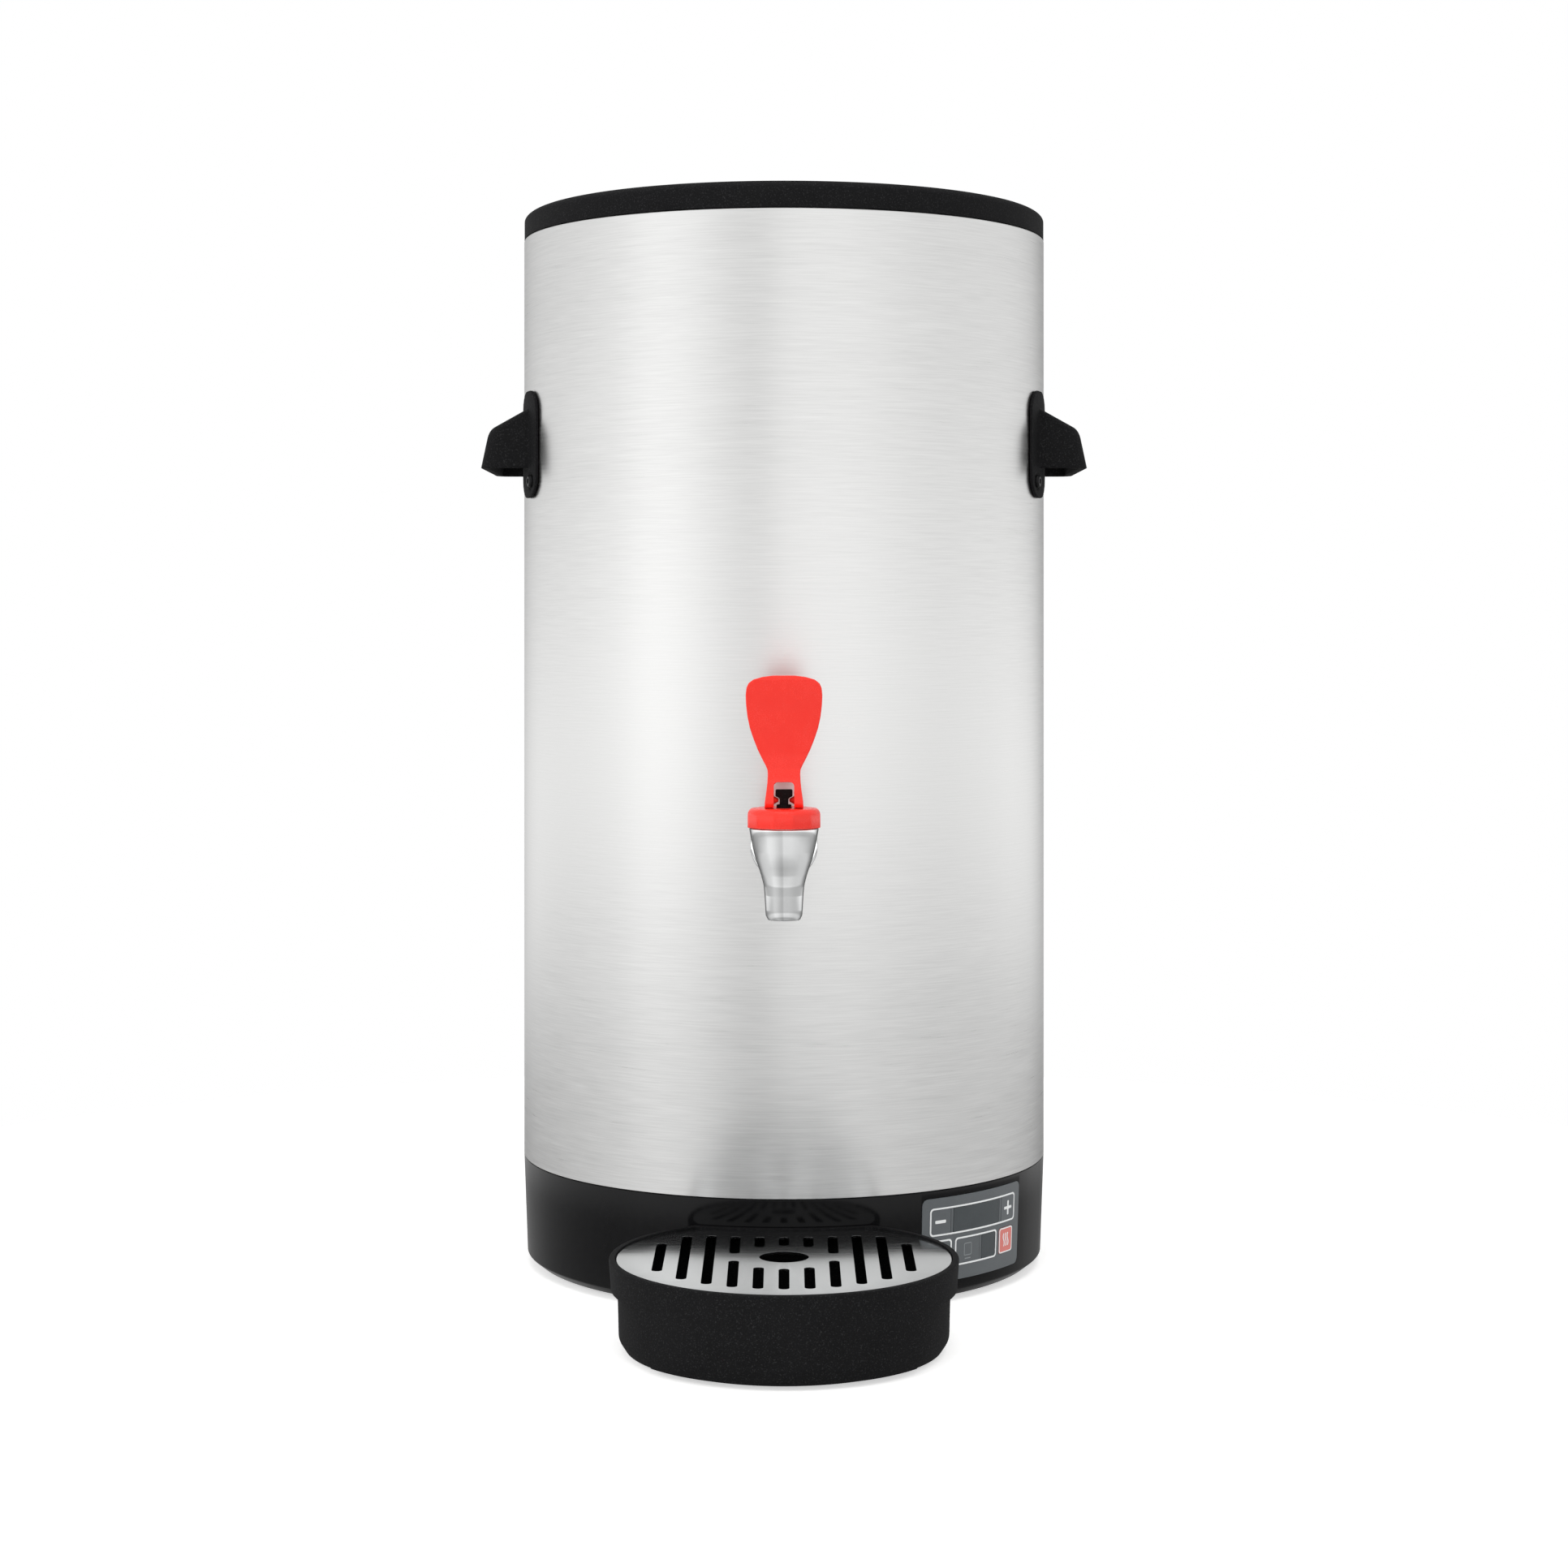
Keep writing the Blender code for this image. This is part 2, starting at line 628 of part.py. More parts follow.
def rod(start, end, radius, steps=SMALL_STEPS, end_radius=None):
    """A round bar or a cone between two points."""
    start, end = Vector(start), Vector(end)
    length = (end - start).length
    tip = radius if end_radius is None else end_radius
    bm = turned([(0, 0), (radius, 0), (tip, length), (0, length)], steps)
    spin = Vector((0, 0, 1)).rotation_difference(end - start).to_matrix().to_4x4()
    bmesh.ops.transform(bm, matrix=Matrix.Translation(start) @ spin, verts=bm.verts)
    return bm


def box(low, high):
    """A plain block between two corners."""
    outline = [(low[0], low[1]), (high[0], low[1]), (high[0], high[1]), (low[0], high[1])]
    return extruded(outline, low[2], high[2])


def joined(parts):
    """Several separate shapes in one bmesh, for use as a cutter."""
    whole = bmesh.new()
    for part in parts:
        mesh = bpy.data.meshes.new("part")
        part.to_mesh(mesh)
        whole.from_mesh(mesh)
        bpy.data.meshes.remove(mesh)
    return whole


def rounded_route(corners, bends, steps=4):
    """Points along straight runs with a round bend at each inner corner."""
    corners = [Vector(corner) for corner in corners]
    points = [corners[0]]
    for before, corner, after, radius in zip(corners[:-2], corners[1:-1], corners[2:], bends):
        inward, outward = (before - corner).normalized(), (after - corner).normalized()
        half_turn = (math.pi - inward.angle(outward)) / 2
        reach = radius * math.tan(half_turn)
        centre = corner + (inward + outward).normalized() * radius / math.cos(half_turn)
        first = corner + inward * reach - centre
        last = corner + outward * reach - centre
        for step in range(steps + 1):
            blend = first.lerp(last, step / steps)
            points.append(centre + blend.normalized() * radius)
    points.append(corners[-1])
    return points


def bent_tube(points, radius, resolution=2):
    """A round tube that follows points, with closed ends."""
    curve = bpy.data.curves.new("route", "CURVE")
    curve.dimensions = "3D"
    curve.bevel_depth = radius
    curve.bevel_resolution = resolution
    curve.use_fill_caps = True
    spline = curve.splines.new("POLY")
    spline.points.add(len(points) - 1)
    for spot, point in zip(spline.points, points):
        spot.co = (*point, 1)
    holder = bpy.data.objects.new("route", curve)
    bpy.context.scene.collection.objects.link(holder)
    evaluated = holder.evaluated_get(bpy.context.evaluated_depsgraph_get())
    mesh = bpy.data.meshes.new_from_object(evaluated)
    bm = bmesh.new()
    bm.from_mesh(mesh)
    bpy.data.objects.remove(holder)
    bpy.data.meshes.remove(mesh)
    return tidy(bm)


def polar(azimuth, radius, height=0.0):
    """A point round the body's axis."""
    angle = math.radians(azimuth)
    return Vector((radius * math.sin(angle), -radius * math.cos(angle), height))


def curved_slab(radius_at, azimuths, heights, depths, corner):
    """A plate with round corners, wrapped round the body between two depths."""
    mean_radius = radius_at((heights[0] + heights[1]) / 2)
    low, high = (math.radians(azimuth) * mean_radius for azimuth in azimuths)
    bm = bmesh.new()
    outline = rounded_box((low, heights[0]), (high, heights[1]), corner)
    bm.faces.new([bm.verts.new((along, 0, height)) for along, height in outline])
    tidy(bm)
    first = math.ceil(azimuths[0] / PATCH_STEP_ANGLE)
    last = math.floor(azimuths[1] / PATCH_STEP_ANGLE)
    for line in range(first, last + 1):
        along = math.radians(line * PATCH_STEP_ANGLE) * mean_radius
        everything = bm.verts[:] + bm.edges[:] + bm.faces[:]
        bmesh.ops.bisect_plane(bm, geom=everything, plane_co=(along, 0, 0), plane_no=(1, 0, 0))
    pushed = bmesh.ops.extrude_face_region(bm, geom=bm.faces[:], use_keep_orig=True)
    outer = {item for item in pushed["geom"] if isinstance(item, bmesh.types.BMVert)}
    for vert in bm.verts:
        depth = depths[1] if vert in outer else depths[0]
        azimuth = math.degrees(vert.co.x / mean_radius)
        vert.co = polar(azimuth, radius_at(vert.co.z) + depth, vert.co.z)
    return tidy(bm)


# Objects

def add_object(name, bm, pivot):
    mesh = bpy.data.meshes.new(name)
    bmesh.ops.translate(bm, verts=bm.verts, vec=-Vector(pivot))
    bm.to_mesh(mesh)
    bm.free()
    item = bpy.data.objects.new(name, mesh)
    item.location = pivot
    item.parent = machine
    bpy.context.scene.collection.objects.link(item)
    return item


def piece(name, bm, material, pivot=(0, 0, 0)):
    """One solid piece of the machine, with its origin at the pivot."""
    item = add_object(name, bm, pivot)
    item.data.materials.append(material)
    item.data.shade_smooth()
    item.data.set_sharp_from_angle(angle=math.radians(SHARP_ANGLE))
    return item


def combine(target, bm, operation):
    helper = add_object(f"{target.name}_helper", bm, (0, 0, 0))
    helper.hide_render = True
    helper.display_type = "WIRE"
    modifier = target.modifiers.new(operation.lower(), "BOOLEAN")
    modifier.operation = operation
    modifier.solver = "EXACT"
    modifier.object = helper


def cut(target, bm):
    combine(target, bm, "DIFFERENCE")


def fuse(target, bm):
    combine(target, bm, "UNION")


def weld(target):
    """Closes the finest slivers that several cuts leave where they meet."""
    modifier = target.modifiers.new("weld", "WELD")
    modifier.merge_threshold = WELD_DISTANCE


def ring(inner, outer, low, high, steps, centre=(0, 0)):
    """A plain turned ring."""
    return turned([(outer, low), (outer, high), (inner, high), (inner, low)], steps, centre)


def along_y(bm, x, y, z):
    """Turns a shape made round Z so that it points along +Y, and sets it at a place."""
    turn = Matrix.Rotation(math.radians(-90), 4, "X")
    bmesh.ops.transform(bm, matrix=Matrix.Translation((x, y, z)) @ turn, verts=bm.verts)
    return bm


def screw(name, seat, direction, length, material):
    """A pan head screw: its head's underside rests at the seat and its shaft runs along the direction."""
    profile = [
        (0, SCREW_HEAD_HEIGHT - SCREW_SOCKET_DEPTH),
        (SCREW_SOCKET_RADIUS, SCREW_HEAD_HEIGHT - SCREW_SOCKET_DEPTH),
        (SCREW_SOCKET_RADIUS, SCREW_HEAD_HEIGHT),
        (SCREW_HEAD_RADIUS * 3 / 4, SCREW_HEAD_HEIGHT),
        (SCREW_HEAD_RADIUS, SCREW_HEAD_HEIGHT / 2),
        (SCREW_HEAD_RADIUS, 0),
        (SCREW_RADIUS, 0),
        (SCREW_RADIUS, -length),
        (0, -length),
    ]
    bm = turned(profile, TINY_STEPS)
    spin = Vector((0, 0, -1)).rotation_difference(Vector(direction)).to_matrix().to_4x4()
    bmesh.ops.transform(bm, matrix=Matrix.Translation(seat) @ spin, verts=bm.verts)
    return piece(name, bm, material, seat)


def base_radius(height):
    """The base's outer radius at a height on its drafted wall."""
    share = (BASE_TOP - height) / (BASE_TOP - BASE_WALL_BOTTOM)
    return BODY_RADIUS - BASE_DRAFT * share


def body_radius(_height):
    return BODY_RADIUS


# Base

def make_base_housing():
    """The black ring under the shell, with its panel recess and rear bosses."""
    outer_low = BODY_RADIUS - BASE_DRAFT
    spigot = BODY_RADIUS - SHELL_WALL - SEAT_GAP
    inner_low = base_radius(LEDGE_TOP) - BASE_WALL
    profile = [
        (outer_low - BASE_CHAMFER_WIDTH, BASE_LIFT),
        (outer_low, BASE_WALL_BOTTOM),
        (BODY_RADIUS, BASE_TOP),
        (spigot, BASE_TOP),
        (spigot, BASE_TOP + SPIGOT_RISE),
        (spigot - SPIGOT_WALL, BASE_TOP + SPIGOT_RISE),
        (spigot - SPIGOT_WALL, BASE_TOP),
        (inner_low, LEDGE_TOP),
        (inner_low - BASE_LEDGE_WIDTH, LEDGE_TOP),
        (inner_low - BASE_LEDGE_WIDTH, BASE_LIFT),
    ]
    housing = piece("base_housing", turned(profile, BODY_STEPS), gloss_black)
    boss_start = BODY_RADIUS - BOSS_DEPTH
    for x, radius in ((INLET_OFFSET, INLET_BOSS_RADIUS), (-GLAND_OFFSET, GLAND_BOSS_RADIUS)):
        fuse(housing, rod((x, boss_start, BACK_FITTING_HEIGHT), (x, BODY_RADIUS, BACK_FITTING_HEIGHT), radius))
    reach = (boss_start - CUT_OVERRUN, BODY_RADIUS + CUT_OVERRUN)
    for x, radius in ((INLET_OFFSET, INLET_RADIUS), (-GLAND_OFFSET, GLAND_THREAD_RADIUS)):
        hole = radius + SEAT_GAP
        cut(housing, rod((x, reach[0], BACK_FITTING_HEIGHT), (x, reach[1], BACK_FITTING_HEIGHT), hole))
    cut(housing, rod((OVERFLOW_X, OVERFLOW_Y, BACK_FITTING_HEIGHT), (OVERFLOW_X, BODY_RADIUS, BACK_FITTING_HEIGHT),
                     OVERFLOW_RADIUS + SEAT_GAP))
    for azimuth in BASE_SCREW_AZIMUTHS:
        spot = base_screw_place(azimuth)
        cut(housing, rod((*spot, BASE_LIFT - CUT_OVERRUN), (*spot, PLATE_BOTTOM), SCREW_RADIUS + SEAT_GAP,
                         TINY_STEPS))
    cut_panel_seat(housing)
    return housing


def cut_panel_seat(housing):
    """The foil's recess, a deeper pocket behind each key, and the opening for the display."""
    heights = (BASE_TOP - PANEL_DROP - PANEL_HEIGHT - SEAT_GAP, BASE_TOP - PANEL_DROP + SEAT_GAP)
    slack = math.degrees(SEAT_GAP / BODY_RADIUS)
    azimuths = (PANEL_AZIMUTHS[0] - slack, PANEL_AZIMUTHS[1] + slack)
    cut(housing, curved_slab(base_radius, azimuths, heights, (-PANEL_RECESS, CUT_OVERRUN), PANEL_CORNER))
    pocket_margin = KEY_FLANGE_WIDTH + 2 * SEAT_GAP
    for _name, span, drop in KEY_PLACES:
        azimuths, heights = key_bounds(span, drop, pocket_margin)
        depths = (-PANEL_RECESS - KEY_POCKET_DEPTH, -PANEL_RECESS / 2)
        cut(housing, curved_slab(base_radius, azimuths, heights, depths, KEY_CORNER))
    span = WINDOW_PLACES[0][1]
    narrowed = (span[0] + DISPLAY_MARGIN_ANGLE, span[1] - DISPLAY_MARGIN_ANGLE)
    azimuths, heights = key_bounds(narrowed, UPPER_ROW_DROP, -DISPLAY_MARGIN)
    cut(housing, curved_slab(base_radius, azimuths, heights, (-BASE_WALL - CUT_OVERRUN, CUT_OVERRUN), KEY_CORNER))


def key_bounds(span, drop, margin):
    """The azimuths and heights of a key or window, widened by a margin."""
    spread = math.degrees(margin / BODY_RADIUS)
    top = BASE_TOP - drop
    return (span[0] - spread, span[1] + spread), (top - ROW_HEIGHT - margin, top + margin)


def base_screw_place(azimuth):
    radius = base_radius(LEDGE_TOP) - BASE_WALL - BASE_SCREW_INSET
    return polar(azimuth, radius)[:2]


def make_base_plate():
    """The steel floor that rests on the housing's ledge."""
    radius = base_radius(LEDGE_TOP) - BASE_WALL - PLATE_EDGE_GAP
    plate = piece("base_plate", turned([(0, PLATE_BOTTOM), (radius, PLATE_BOTTOM), (radius, PLATE_TOP), (0, PLATE_TOP)],
                                       BODY_STEPS), plain_steel)
    span = (PLATE_BOTTOM - CUT_OVERRUN, PLATE_TOP + CUT_OVERRUN)
    holes = []
    for _name, azimuth in FOOT_PLACES:
        spot = polar(azimuth, FOOT_CIRCLE_RADIUS)[:2]
        holes.append(rod((*spot, span[0]), (*spot, span[1]), FOOT_STEM_RADIUS + SEAT_GAP))
    for azimuth in BASE_SCREW_AZIMUTHS:
        spot = base_screw_place(azimuth)
        holes.append(rod((*spot, span[0]), (*spot, span[1]), SCREW_RADIUS + SEAT_GAP, TINY_STEPS))
    cut(plate, joined(holes))


def make_feet():
    for name, azimuth in FOOT_PLACES:
        spot = polar(azimuth, FOOT_CIRCLE_RADIUS)
        top = PLATE_BOTTOM - SEAT_GAP
        profile = [
            (0, 0),
            (FOOT_RADIUS - FOOT_EDGE, 0),
            (FOOT_RADIUS, FOOT_EDGE),
            (FOOT_RADIUS, top),
            (FOOT_STEM_RADIUS, top),
            (FOOT_STEM_RADIUS, PLATE_TOP + FOOT_STEM_RISE),
            (0, PLATE_TOP + FOOT_STEM_RISE),
        ]
        piece(name, turned(profile, SMALL_STEPS, spot[:2]), foot_rubber, spot)


def make_base_screws():
    for number, azimuth in enumerate(BASE_SCREW_AZIMUTHS, start=1):
        seat = (*base_screw_place(azimuth), PLATE_TOP + SEAT_GAP)
        screw(f"base_screw_{number}", seat, (0, 0, -1), BASE_SCREW_LENGTH, plain_steel)


# Body

def make_outer_shell():
    """The steel jacket, with its rim folded inwards and holes for the tap and the handles."""
    inner = BODY_RADIUS - SHELL_WALL
    rim = BODY_RADIUS - SHELL_RIM_WIDTH
    profile = [
        (BODY_RADIUS, SHELL_BOTTOM),
        (BODY_RADIUS, SHELL_TOP),
        (rim, SHELL_TOP),
        (rim, SHELL_TOP - SHELL_WALL),
        (inner, SHELL_TOP - SHELL_WALL),
        (inner, SHELL_BOTTOM),
    ]
    shell = piece("outer_shell", turned(profile, BODY_STEPS), brushed_steel)
    front = -(BODY_RADIUS + CUT_OVERRUN)
    holes = [rod((0, front, SHANK_Z), (0, -TANK_RADIUS, SHANK_Z), SHANK_RADIUS + SEAT_GAP)]
    for side in (-1, 1):
        for end in (-1, 1):
            outside = handle_screw_place(side, end, BODY_RADIUS + CUT_OVERRUN)
            inside = handle_screw_place(side, end, BODY_RADIUS - CUT_OVERRUN)
            holes.append(rod(inside, outside, SCREW_RADIUS + SEAT_GAP, TINY_STEPS))
    cut(shell, joined(holes))


def make_inner_tank():
    """The water tank, open at the top, hanging by its flange on the shell's rim."""
    flange = BODY_RADIUS - TANK_FLANGE_GAP
    outer_arc = arc((TANK_RADIUS - TANK_CORNER, TANK_FLOOR + TANK_CORNER), TANK_CORNER, 270, 360, CORNER_STEPS)
    inner_corner = TANK_CORNER - TANK_WALL
    inner_arc = arc((TANK_RADIUS - TANK_CORNER, TANK_FLOOR + TANK_CORNER), inner_corner, 360, 270, CORNER_STEPS)
    profile = (
        [(0, TANK_FLOOR)]
        + outer_arc
        + [(TANK_RADIUS, FLANGE_BOTTOM), (flange, FLANGE_BOTTOM), (flange, FLANGE_TOP), (TANK_INNER_RADIUS, FLANGE_TOP)]
        + inner_arc
        + [(0, TANK_FLOOR_INSIDE)]
    )
    tank = piece("inner_tank", turned(profile, TANK_STEPS), plain_steel)
    stub_bottom = TANK_FLOOR - STUB_LENGTH
    stub = (INLET_OFFSET, HOSE_RISE_Y)
    fuse(tank, rod((*stub, stub_bottom), (*stub, TANK_FLOOR + TANK_WALL / 2), VALVE_BARB_RADIUS))
    low, high = stub_bottom - CUT_OVERRUN, TANK_FLOOR_INSIDE + CUT_OVERRUN
    holes = [
        rod((*stub, low), (*stub, high), STUB_BORE_RADIUS),
        rod((0, PLUG_Y, low), (0, PLUG_Y, high), PLUG_NECK_RADIUS + SEAT_GAP),
        rod((*PROBE_PLACE, low), (*PROBE_PLACE, high), PROBE_RADIUS + SEAT_GAP, TINY_STEPS),
        rod((OVERFLOW_X, OVERFLOW_Y, low), (OVERFLOW_X, OVERFLOW_Y, high), OVERFLOW_RADIUS + SEAT_GAP),
        rod((0, -BODY_RADIUS, SHANK_Z), (0, 0, SHANK_Z), SHANK_RADIUS + SEAT_GAP),
    ]
    cut(tank, joined(holes))


def make_tank_support():
    """The sheet steel ring that carries the tank from the base plate."""
    low = PLATE_TOP + SEAT_GAP
    high = TANK_FLOOR - SEAT_GAP
    inner = SUPPORT_RADIUS - SUPPORT_WALL
    profile = [
        (SUPPORT_RADIUS, high),
        (inner, high),
        (inner, low + SUPPORT_WALL),
        (SUPPORT_RADIUS - SUPPORT_FOOT_WIDTH, low + SUPPORT_WALL),
        (SUPPORT_RADIUS - SUPPORT_FOOT_WIDTH, low),
        (SUPPORT_RADIUS, low),
    ]
    support = piece("tank_support", turned(profile, TANK_STEPS), plain_steel)
    half = SUPPORT_WINDOW_WIDTH / 2
    sill = low + SUPPORT_WINDOW_RISE
    outline = rounded_box((-half, sill), (half, sill + SUPPORT_WINDOW_HEIGHT), SUPPORT_WINDOW_RISE)
    cut(support, extruded(outline, 0, SUPPORT_RADIUS + CUT_OVERRUN, "Y"))


def make_insulation_jacket():
    inner = TANK_RADIUS + SEAT_GAP
    outer = inner + JACKET_THICKNESS
    low = TANK_FLOOR + TANK_CORNER
    high = SHELL_TOP - JACKET_END_GAP
    jacket = piece("insulation_jacket", ring(inner, outer, low, high, TANK_STEPS), insulation_wool)
    cut(jacket, rod((0, -BODY_RADIUS, SHANK_Z), (0, 0, SHANK_Z), SHANK_RADIUS + RUN_GAP))


# Lid

def make_lid():
    """The lid: a skirt on the shell's rim, a dished top with a grip, and a plug in the tank's mouth."""
    radius = BODY_RADIUS - LID_RADIUS_GAP
    side_top = LID_BOTTOM + LID_SIDE_HEIGHT
    edge = [
        (radius - LID_EDGE_WIDTH * (1 - math.cos(math.radians(angle))),
         side_top + LID_EDGE_RISE * math.sin(math.radians(angle)))
        for angle in (0, 30, 60, 90)
    ]
    dish_edge = radius - LID_EDGE_WIDTH - LID_RIM_WIDTH
    dish = LID_TOP - LID_DISH_DEPTH
    hollow = dish - GRIP_HOLLOW_DEPTH
    under = dish - LID_WALL
    plug_outer = TANK_INNER_RADIUS - LID_PLUG_GAP
    profile = (
        [(0, hollow), (GRIP_HOLLOW_RADIUS - GRIP_HOLLOW_DRAFT, hollow), (GRIP_HOLLOW_RADIUS, dish)]
        + [(dish_edge - LID_DISH_SLOPE_WIDTH, dish), (dish_edge, LID_TOP)]
        + edge[::-1]
        + [
            (radius, LID_BOTTOM),
            (radius - LID_WALL, LID_BOTTOM),
            (radius - LID_WALL, under),
            (plug_outer, under),
            (plug_outer, under - LID_PLUG_LENGTH),
            (plug_outer - LID_WALL, under - LID_PLUG_LENGTH),
            (plug_outer - LID_WALL, under),
            (GRIP_HOLLOW_RADIUS + LID_WALL, under),
            (GRIP_HOLLOW_RADIUS + LID_WALL - GRIP_HOLLOW_DRAFT, hollow - LID_WALL),
            (0, hollow - LID_WALL),
        ]
    )
    lid = piece("lid", turned(profile, BODY_STEPS), matt_black, (0, 0, LID_BOTTOM))
    reach = GRIP_HOLLOW_RADIUS + LID_WALL / 2
    half = GRIP_BAR_WIDTH / 2
    middle = hollow - LID_WALL / 2
    fuse(lid, extruded([(-half, middle), (half, middle), (half, dish), (-half, dish)], -reach, reach, "X"))
    seal_top = under - SEAT_GAP
    seal_bottom = FLANGE_TOP + SEAT_GAP
    seal_outer = SEAL_INNER_RADIUS + SEAL_WIDTH
    piece("lid_seal", ring(SEAL_INNER_RADIUS, seal_outer, seal_bottom, seal_top, TANK_STEPS), seal_rubber,
          (0, 0, LID_BOTTOM))


# Handles

def handle_screw_place(side, end, radius):
    height = SHELL_TOP - HANDLE_DROP - HANDLE_FLANGE_HEIGHT + HANDLE_SCREW_RISE
    return polar(side * (90 + end * HANDLE_SCREW_ANGLE), radius, height)


def hood_ring(side, reach, height, half_width, corner):
    """A level section of the scoop: square at the shell and round at its outer corners."""
    root = BODY_RADIUS - HOOD_ROOT_DEPTH
    outer = BODY_RADIUS + reach
    corner = min(corner, (outer - root) / 2)
    points = [(root, -half_width)]
    points += arc((outer - corner, -half_width + corner), corner, 270, 360, CORNER_STEPS)
    points += arc((outer - corner, half_width - corner), corner, 0, 90, CORNER_STEPS)
    points.append((root, half_width))
    return [(side * x, y, height) for x, y in points]


def make_handle(name, side):
    """A moulded handle: a scoop that is open below, between two ears on the shell."""
    flange_top = SHELL_TOP - HANDLE_DROP
    flange_bottom = flange_top - HANDLE_FLANGE_HEIGHT
    lip = flange_top - HOOD_DROP - HOOD_HEIGHT
    outer_rings = [
        hood_ring(side, HANDLE_REACH * reach, lip + HOOD_HEIGHT * rise, HANDLE_HALF_WIDTH, HANDLE_CORNER)
        for reach, rise in HOOD_PROFILE_SHARES
    ]
    inner_rings = [
        hood_ring(side, HANDLE_REACH * reach - HANDLE_WALL, lip + HOOD_HEIGHT * rise - HANDLE_CEILING,
                  HANDLE_HALF_WIDTH - HANDLE_WALL, HANDLE_CORNER - HANDLE_WALL)
        for reach, rise in HOOD_PROFILE_SHARES
    ]
    handle = piece(name, lofted(outer_rings), matt_black, (side * BODY_RADIUS, 0, lip))
    cut(handle, lofted(inner_rings))
    flange_inner = BODY_RADIUS + SEAT_GAP
    hood_inner = BODY_RADIUS + HOOD_EDGE_GAP
    cut(handle, turned([(0, flange_bottom), (hood_inner, flange_bottom), (hood_inner, flange_top), (0, flange_top)],
                       BODY_STEPS))
    depths = (SEAT_GAP, SEAT_GAP + HANDLE_FLANGE_THICKNESS)
    for end in (-1, 1):
        azimuths = sorted(side * (90 + end * angle) for angle in (HANDLE_EAR_INNER_ANGLE, HANDLE_FLANGE_HALF_ANGLE))
        ear = curved_slab(body_radius, azimuths, (flange_bottom, flange_top), depths, HANDLE_FLANGE_CORNER)
        fuse(handle, ear)
    surface = flange_inner + HANDLE_FLANGE_THICKNESS
    pockets = []
    holes = []
    for end in (-1, 1):
        pockets.append(screw_pocket(side, end, surface))
        inside = handle_screw_place(side, end, BODY_RADIUS - CUT_OVERRUN)
        outside = handle_screw_place(side, end, surface + CUT_OVERRUN)
        holes.append(rod(inside, outside, SCREW_RADIUS + SEAT_GAP, TINY_STEPS))
    cut(handle, joined(pockets))
    cut(handle, joined(holes))
    letter = "right" if side > 0 else "left"
    for end, word in ((-1, "front"), (1, "rear")):
        seat = handle_screw_place(side, end, surface - HANDLE_SCREW_POCKET_DEPTH + SEAT_GAP)
        inward = -polar(side * (90 + end * HANDLE_SCREW_ANGLE), 1)
        screw(f"handle_screw_{letter}_{word}", seat, inward, HANDLE_SCREW_LENGTH, plain_steel)


def screw_pocket(side, end, surface):
    """An upright oval recess in an ear round a screw's head."""
    half = HANDLE_SCREW_POCKET_RADIUS
    rise = HANDLE_SCREW_POCKET_HEIGHT / 2 - half
    outline = arc((0, rise), half, 0, 180, CORNER_STEPS * 2) + arc((0, -rise), half, 180, 360, CORNER_STEPS * 2)
    bm = extruded(outline, -HANDLE_SCREW_POCKET_DEPTH, CUT_OVERRUN, "Y")
    azimuth = side * (90 + end * HANDLE_SCREW_ANGLE)
    turn = Matrix.Rotation(math.radians(azimuth + 180), 4, "Z")
    place = Matrix.Translation(handle_screw_place(side, end, surface))
    bmesh.ops.transform(bm, matrix=place @ turn, verts=bm.verts)
    return bm


# Tap

def make_tap_body():
    """The metal tap: cup and spout on a vertical axis, with a flanged shank into the tank."""
    outside = [(TAP_CUP_RADIUS * radius, SPOUT_Z + TAP_BODY_HEIGHT * rise) for radius, rise in TAP_PROFILE_SHARES]
    collar_top = CUP_TOP + TAP_COLLAR_HEIGHT
    profile = (
        [(0, SPOUT_Z)]
        + outside
        + [(TAP_COLLAR_RADIUS, CUP_TOP), (TAP_COLLAR_RADIUS, collar_top), (0, collar_top)]
    )
    tap = piece("tap_body", turned(profile, TAP_ROUND_STEPS, (0, TAP_Y)), polished_metal, (0, TAP_Y, SPOUT_Z))
    flange_back = BODY_RADIUS + 2 * SEAT_GAP + GASKET_THICKNESS
    flange_front = flange_back + TAP_FLANGE_THICKNESS
    shank_end = TANK_INNER_RADIUS - SHANK_INSIDE
    shank_profile = [
        (0, -flange_front),
        (TAP_FLANGE_RADIUS - TAP_FLANGE_EDGE, -flange_front),
        (TAP_FLANGE_RADIUS, TAP_FLANGE_EDGE - flange_front),
        (TAP_FLANGE_RADIUS, -flange_back),
        (SHANK_RADIUS, -flange_back),
        (SHANK_RADIUS, -shank_end),
        (0, -shank_end),
    ]
    fuse(tap, along_y(turned(shank_profile, TAP_ROUND_STEPS), 0, 0, SHANK_Z))
    neck_start = (0, TAP_Y, SHANK_Z)
    fuse(tap, rod((0, TAP_Y + TAP_CHAMBER_RADIUS, SHANK_Z), (0, -flange_front + TAP_FLANGE_EDGE, SHANK_Z),
                  TAP_NECK_RADIUS, TAP_ROUND_STEPS))
    pocket_top = SEAT_RING_Z + TAP_SEAT_POCKET_HEIGHT
    pocket_radius = SEAT_CUP_RADIUS + RUN_GAP
    chamber = [
        (0, SEAT_RING_Z),
        (pocket_radius, SEAT_RING_Z),
        (pocket_radius, pocket_top),
        (TAP_CHAMBER_RADIUS, pocket_top + TAP_SEAT_POCKET_FLARE),
        (TAP_CHAMBER_RADIUS, collar_top + CUT_OVERRUN),
        (0, collar_top + CUT_OVERRUN),
    ]
    cut(tap, turned(chamber, SMALL_STEPS, (0, TAP_Y)))
    cut(tap, rod((0, TAP_Y, SPOUT_Z - CUT_OVERRUN), (0, TAP_Y, SEAT_RING_Z + CUT_OVERRUN), TAP_SPOUT_BORE_RADIUS))
    cut(tap, rod(neck_start, (0, -shank_end + CUT_OVERRUN, SHANK_Z), SHANK_BORE_RADIUS))


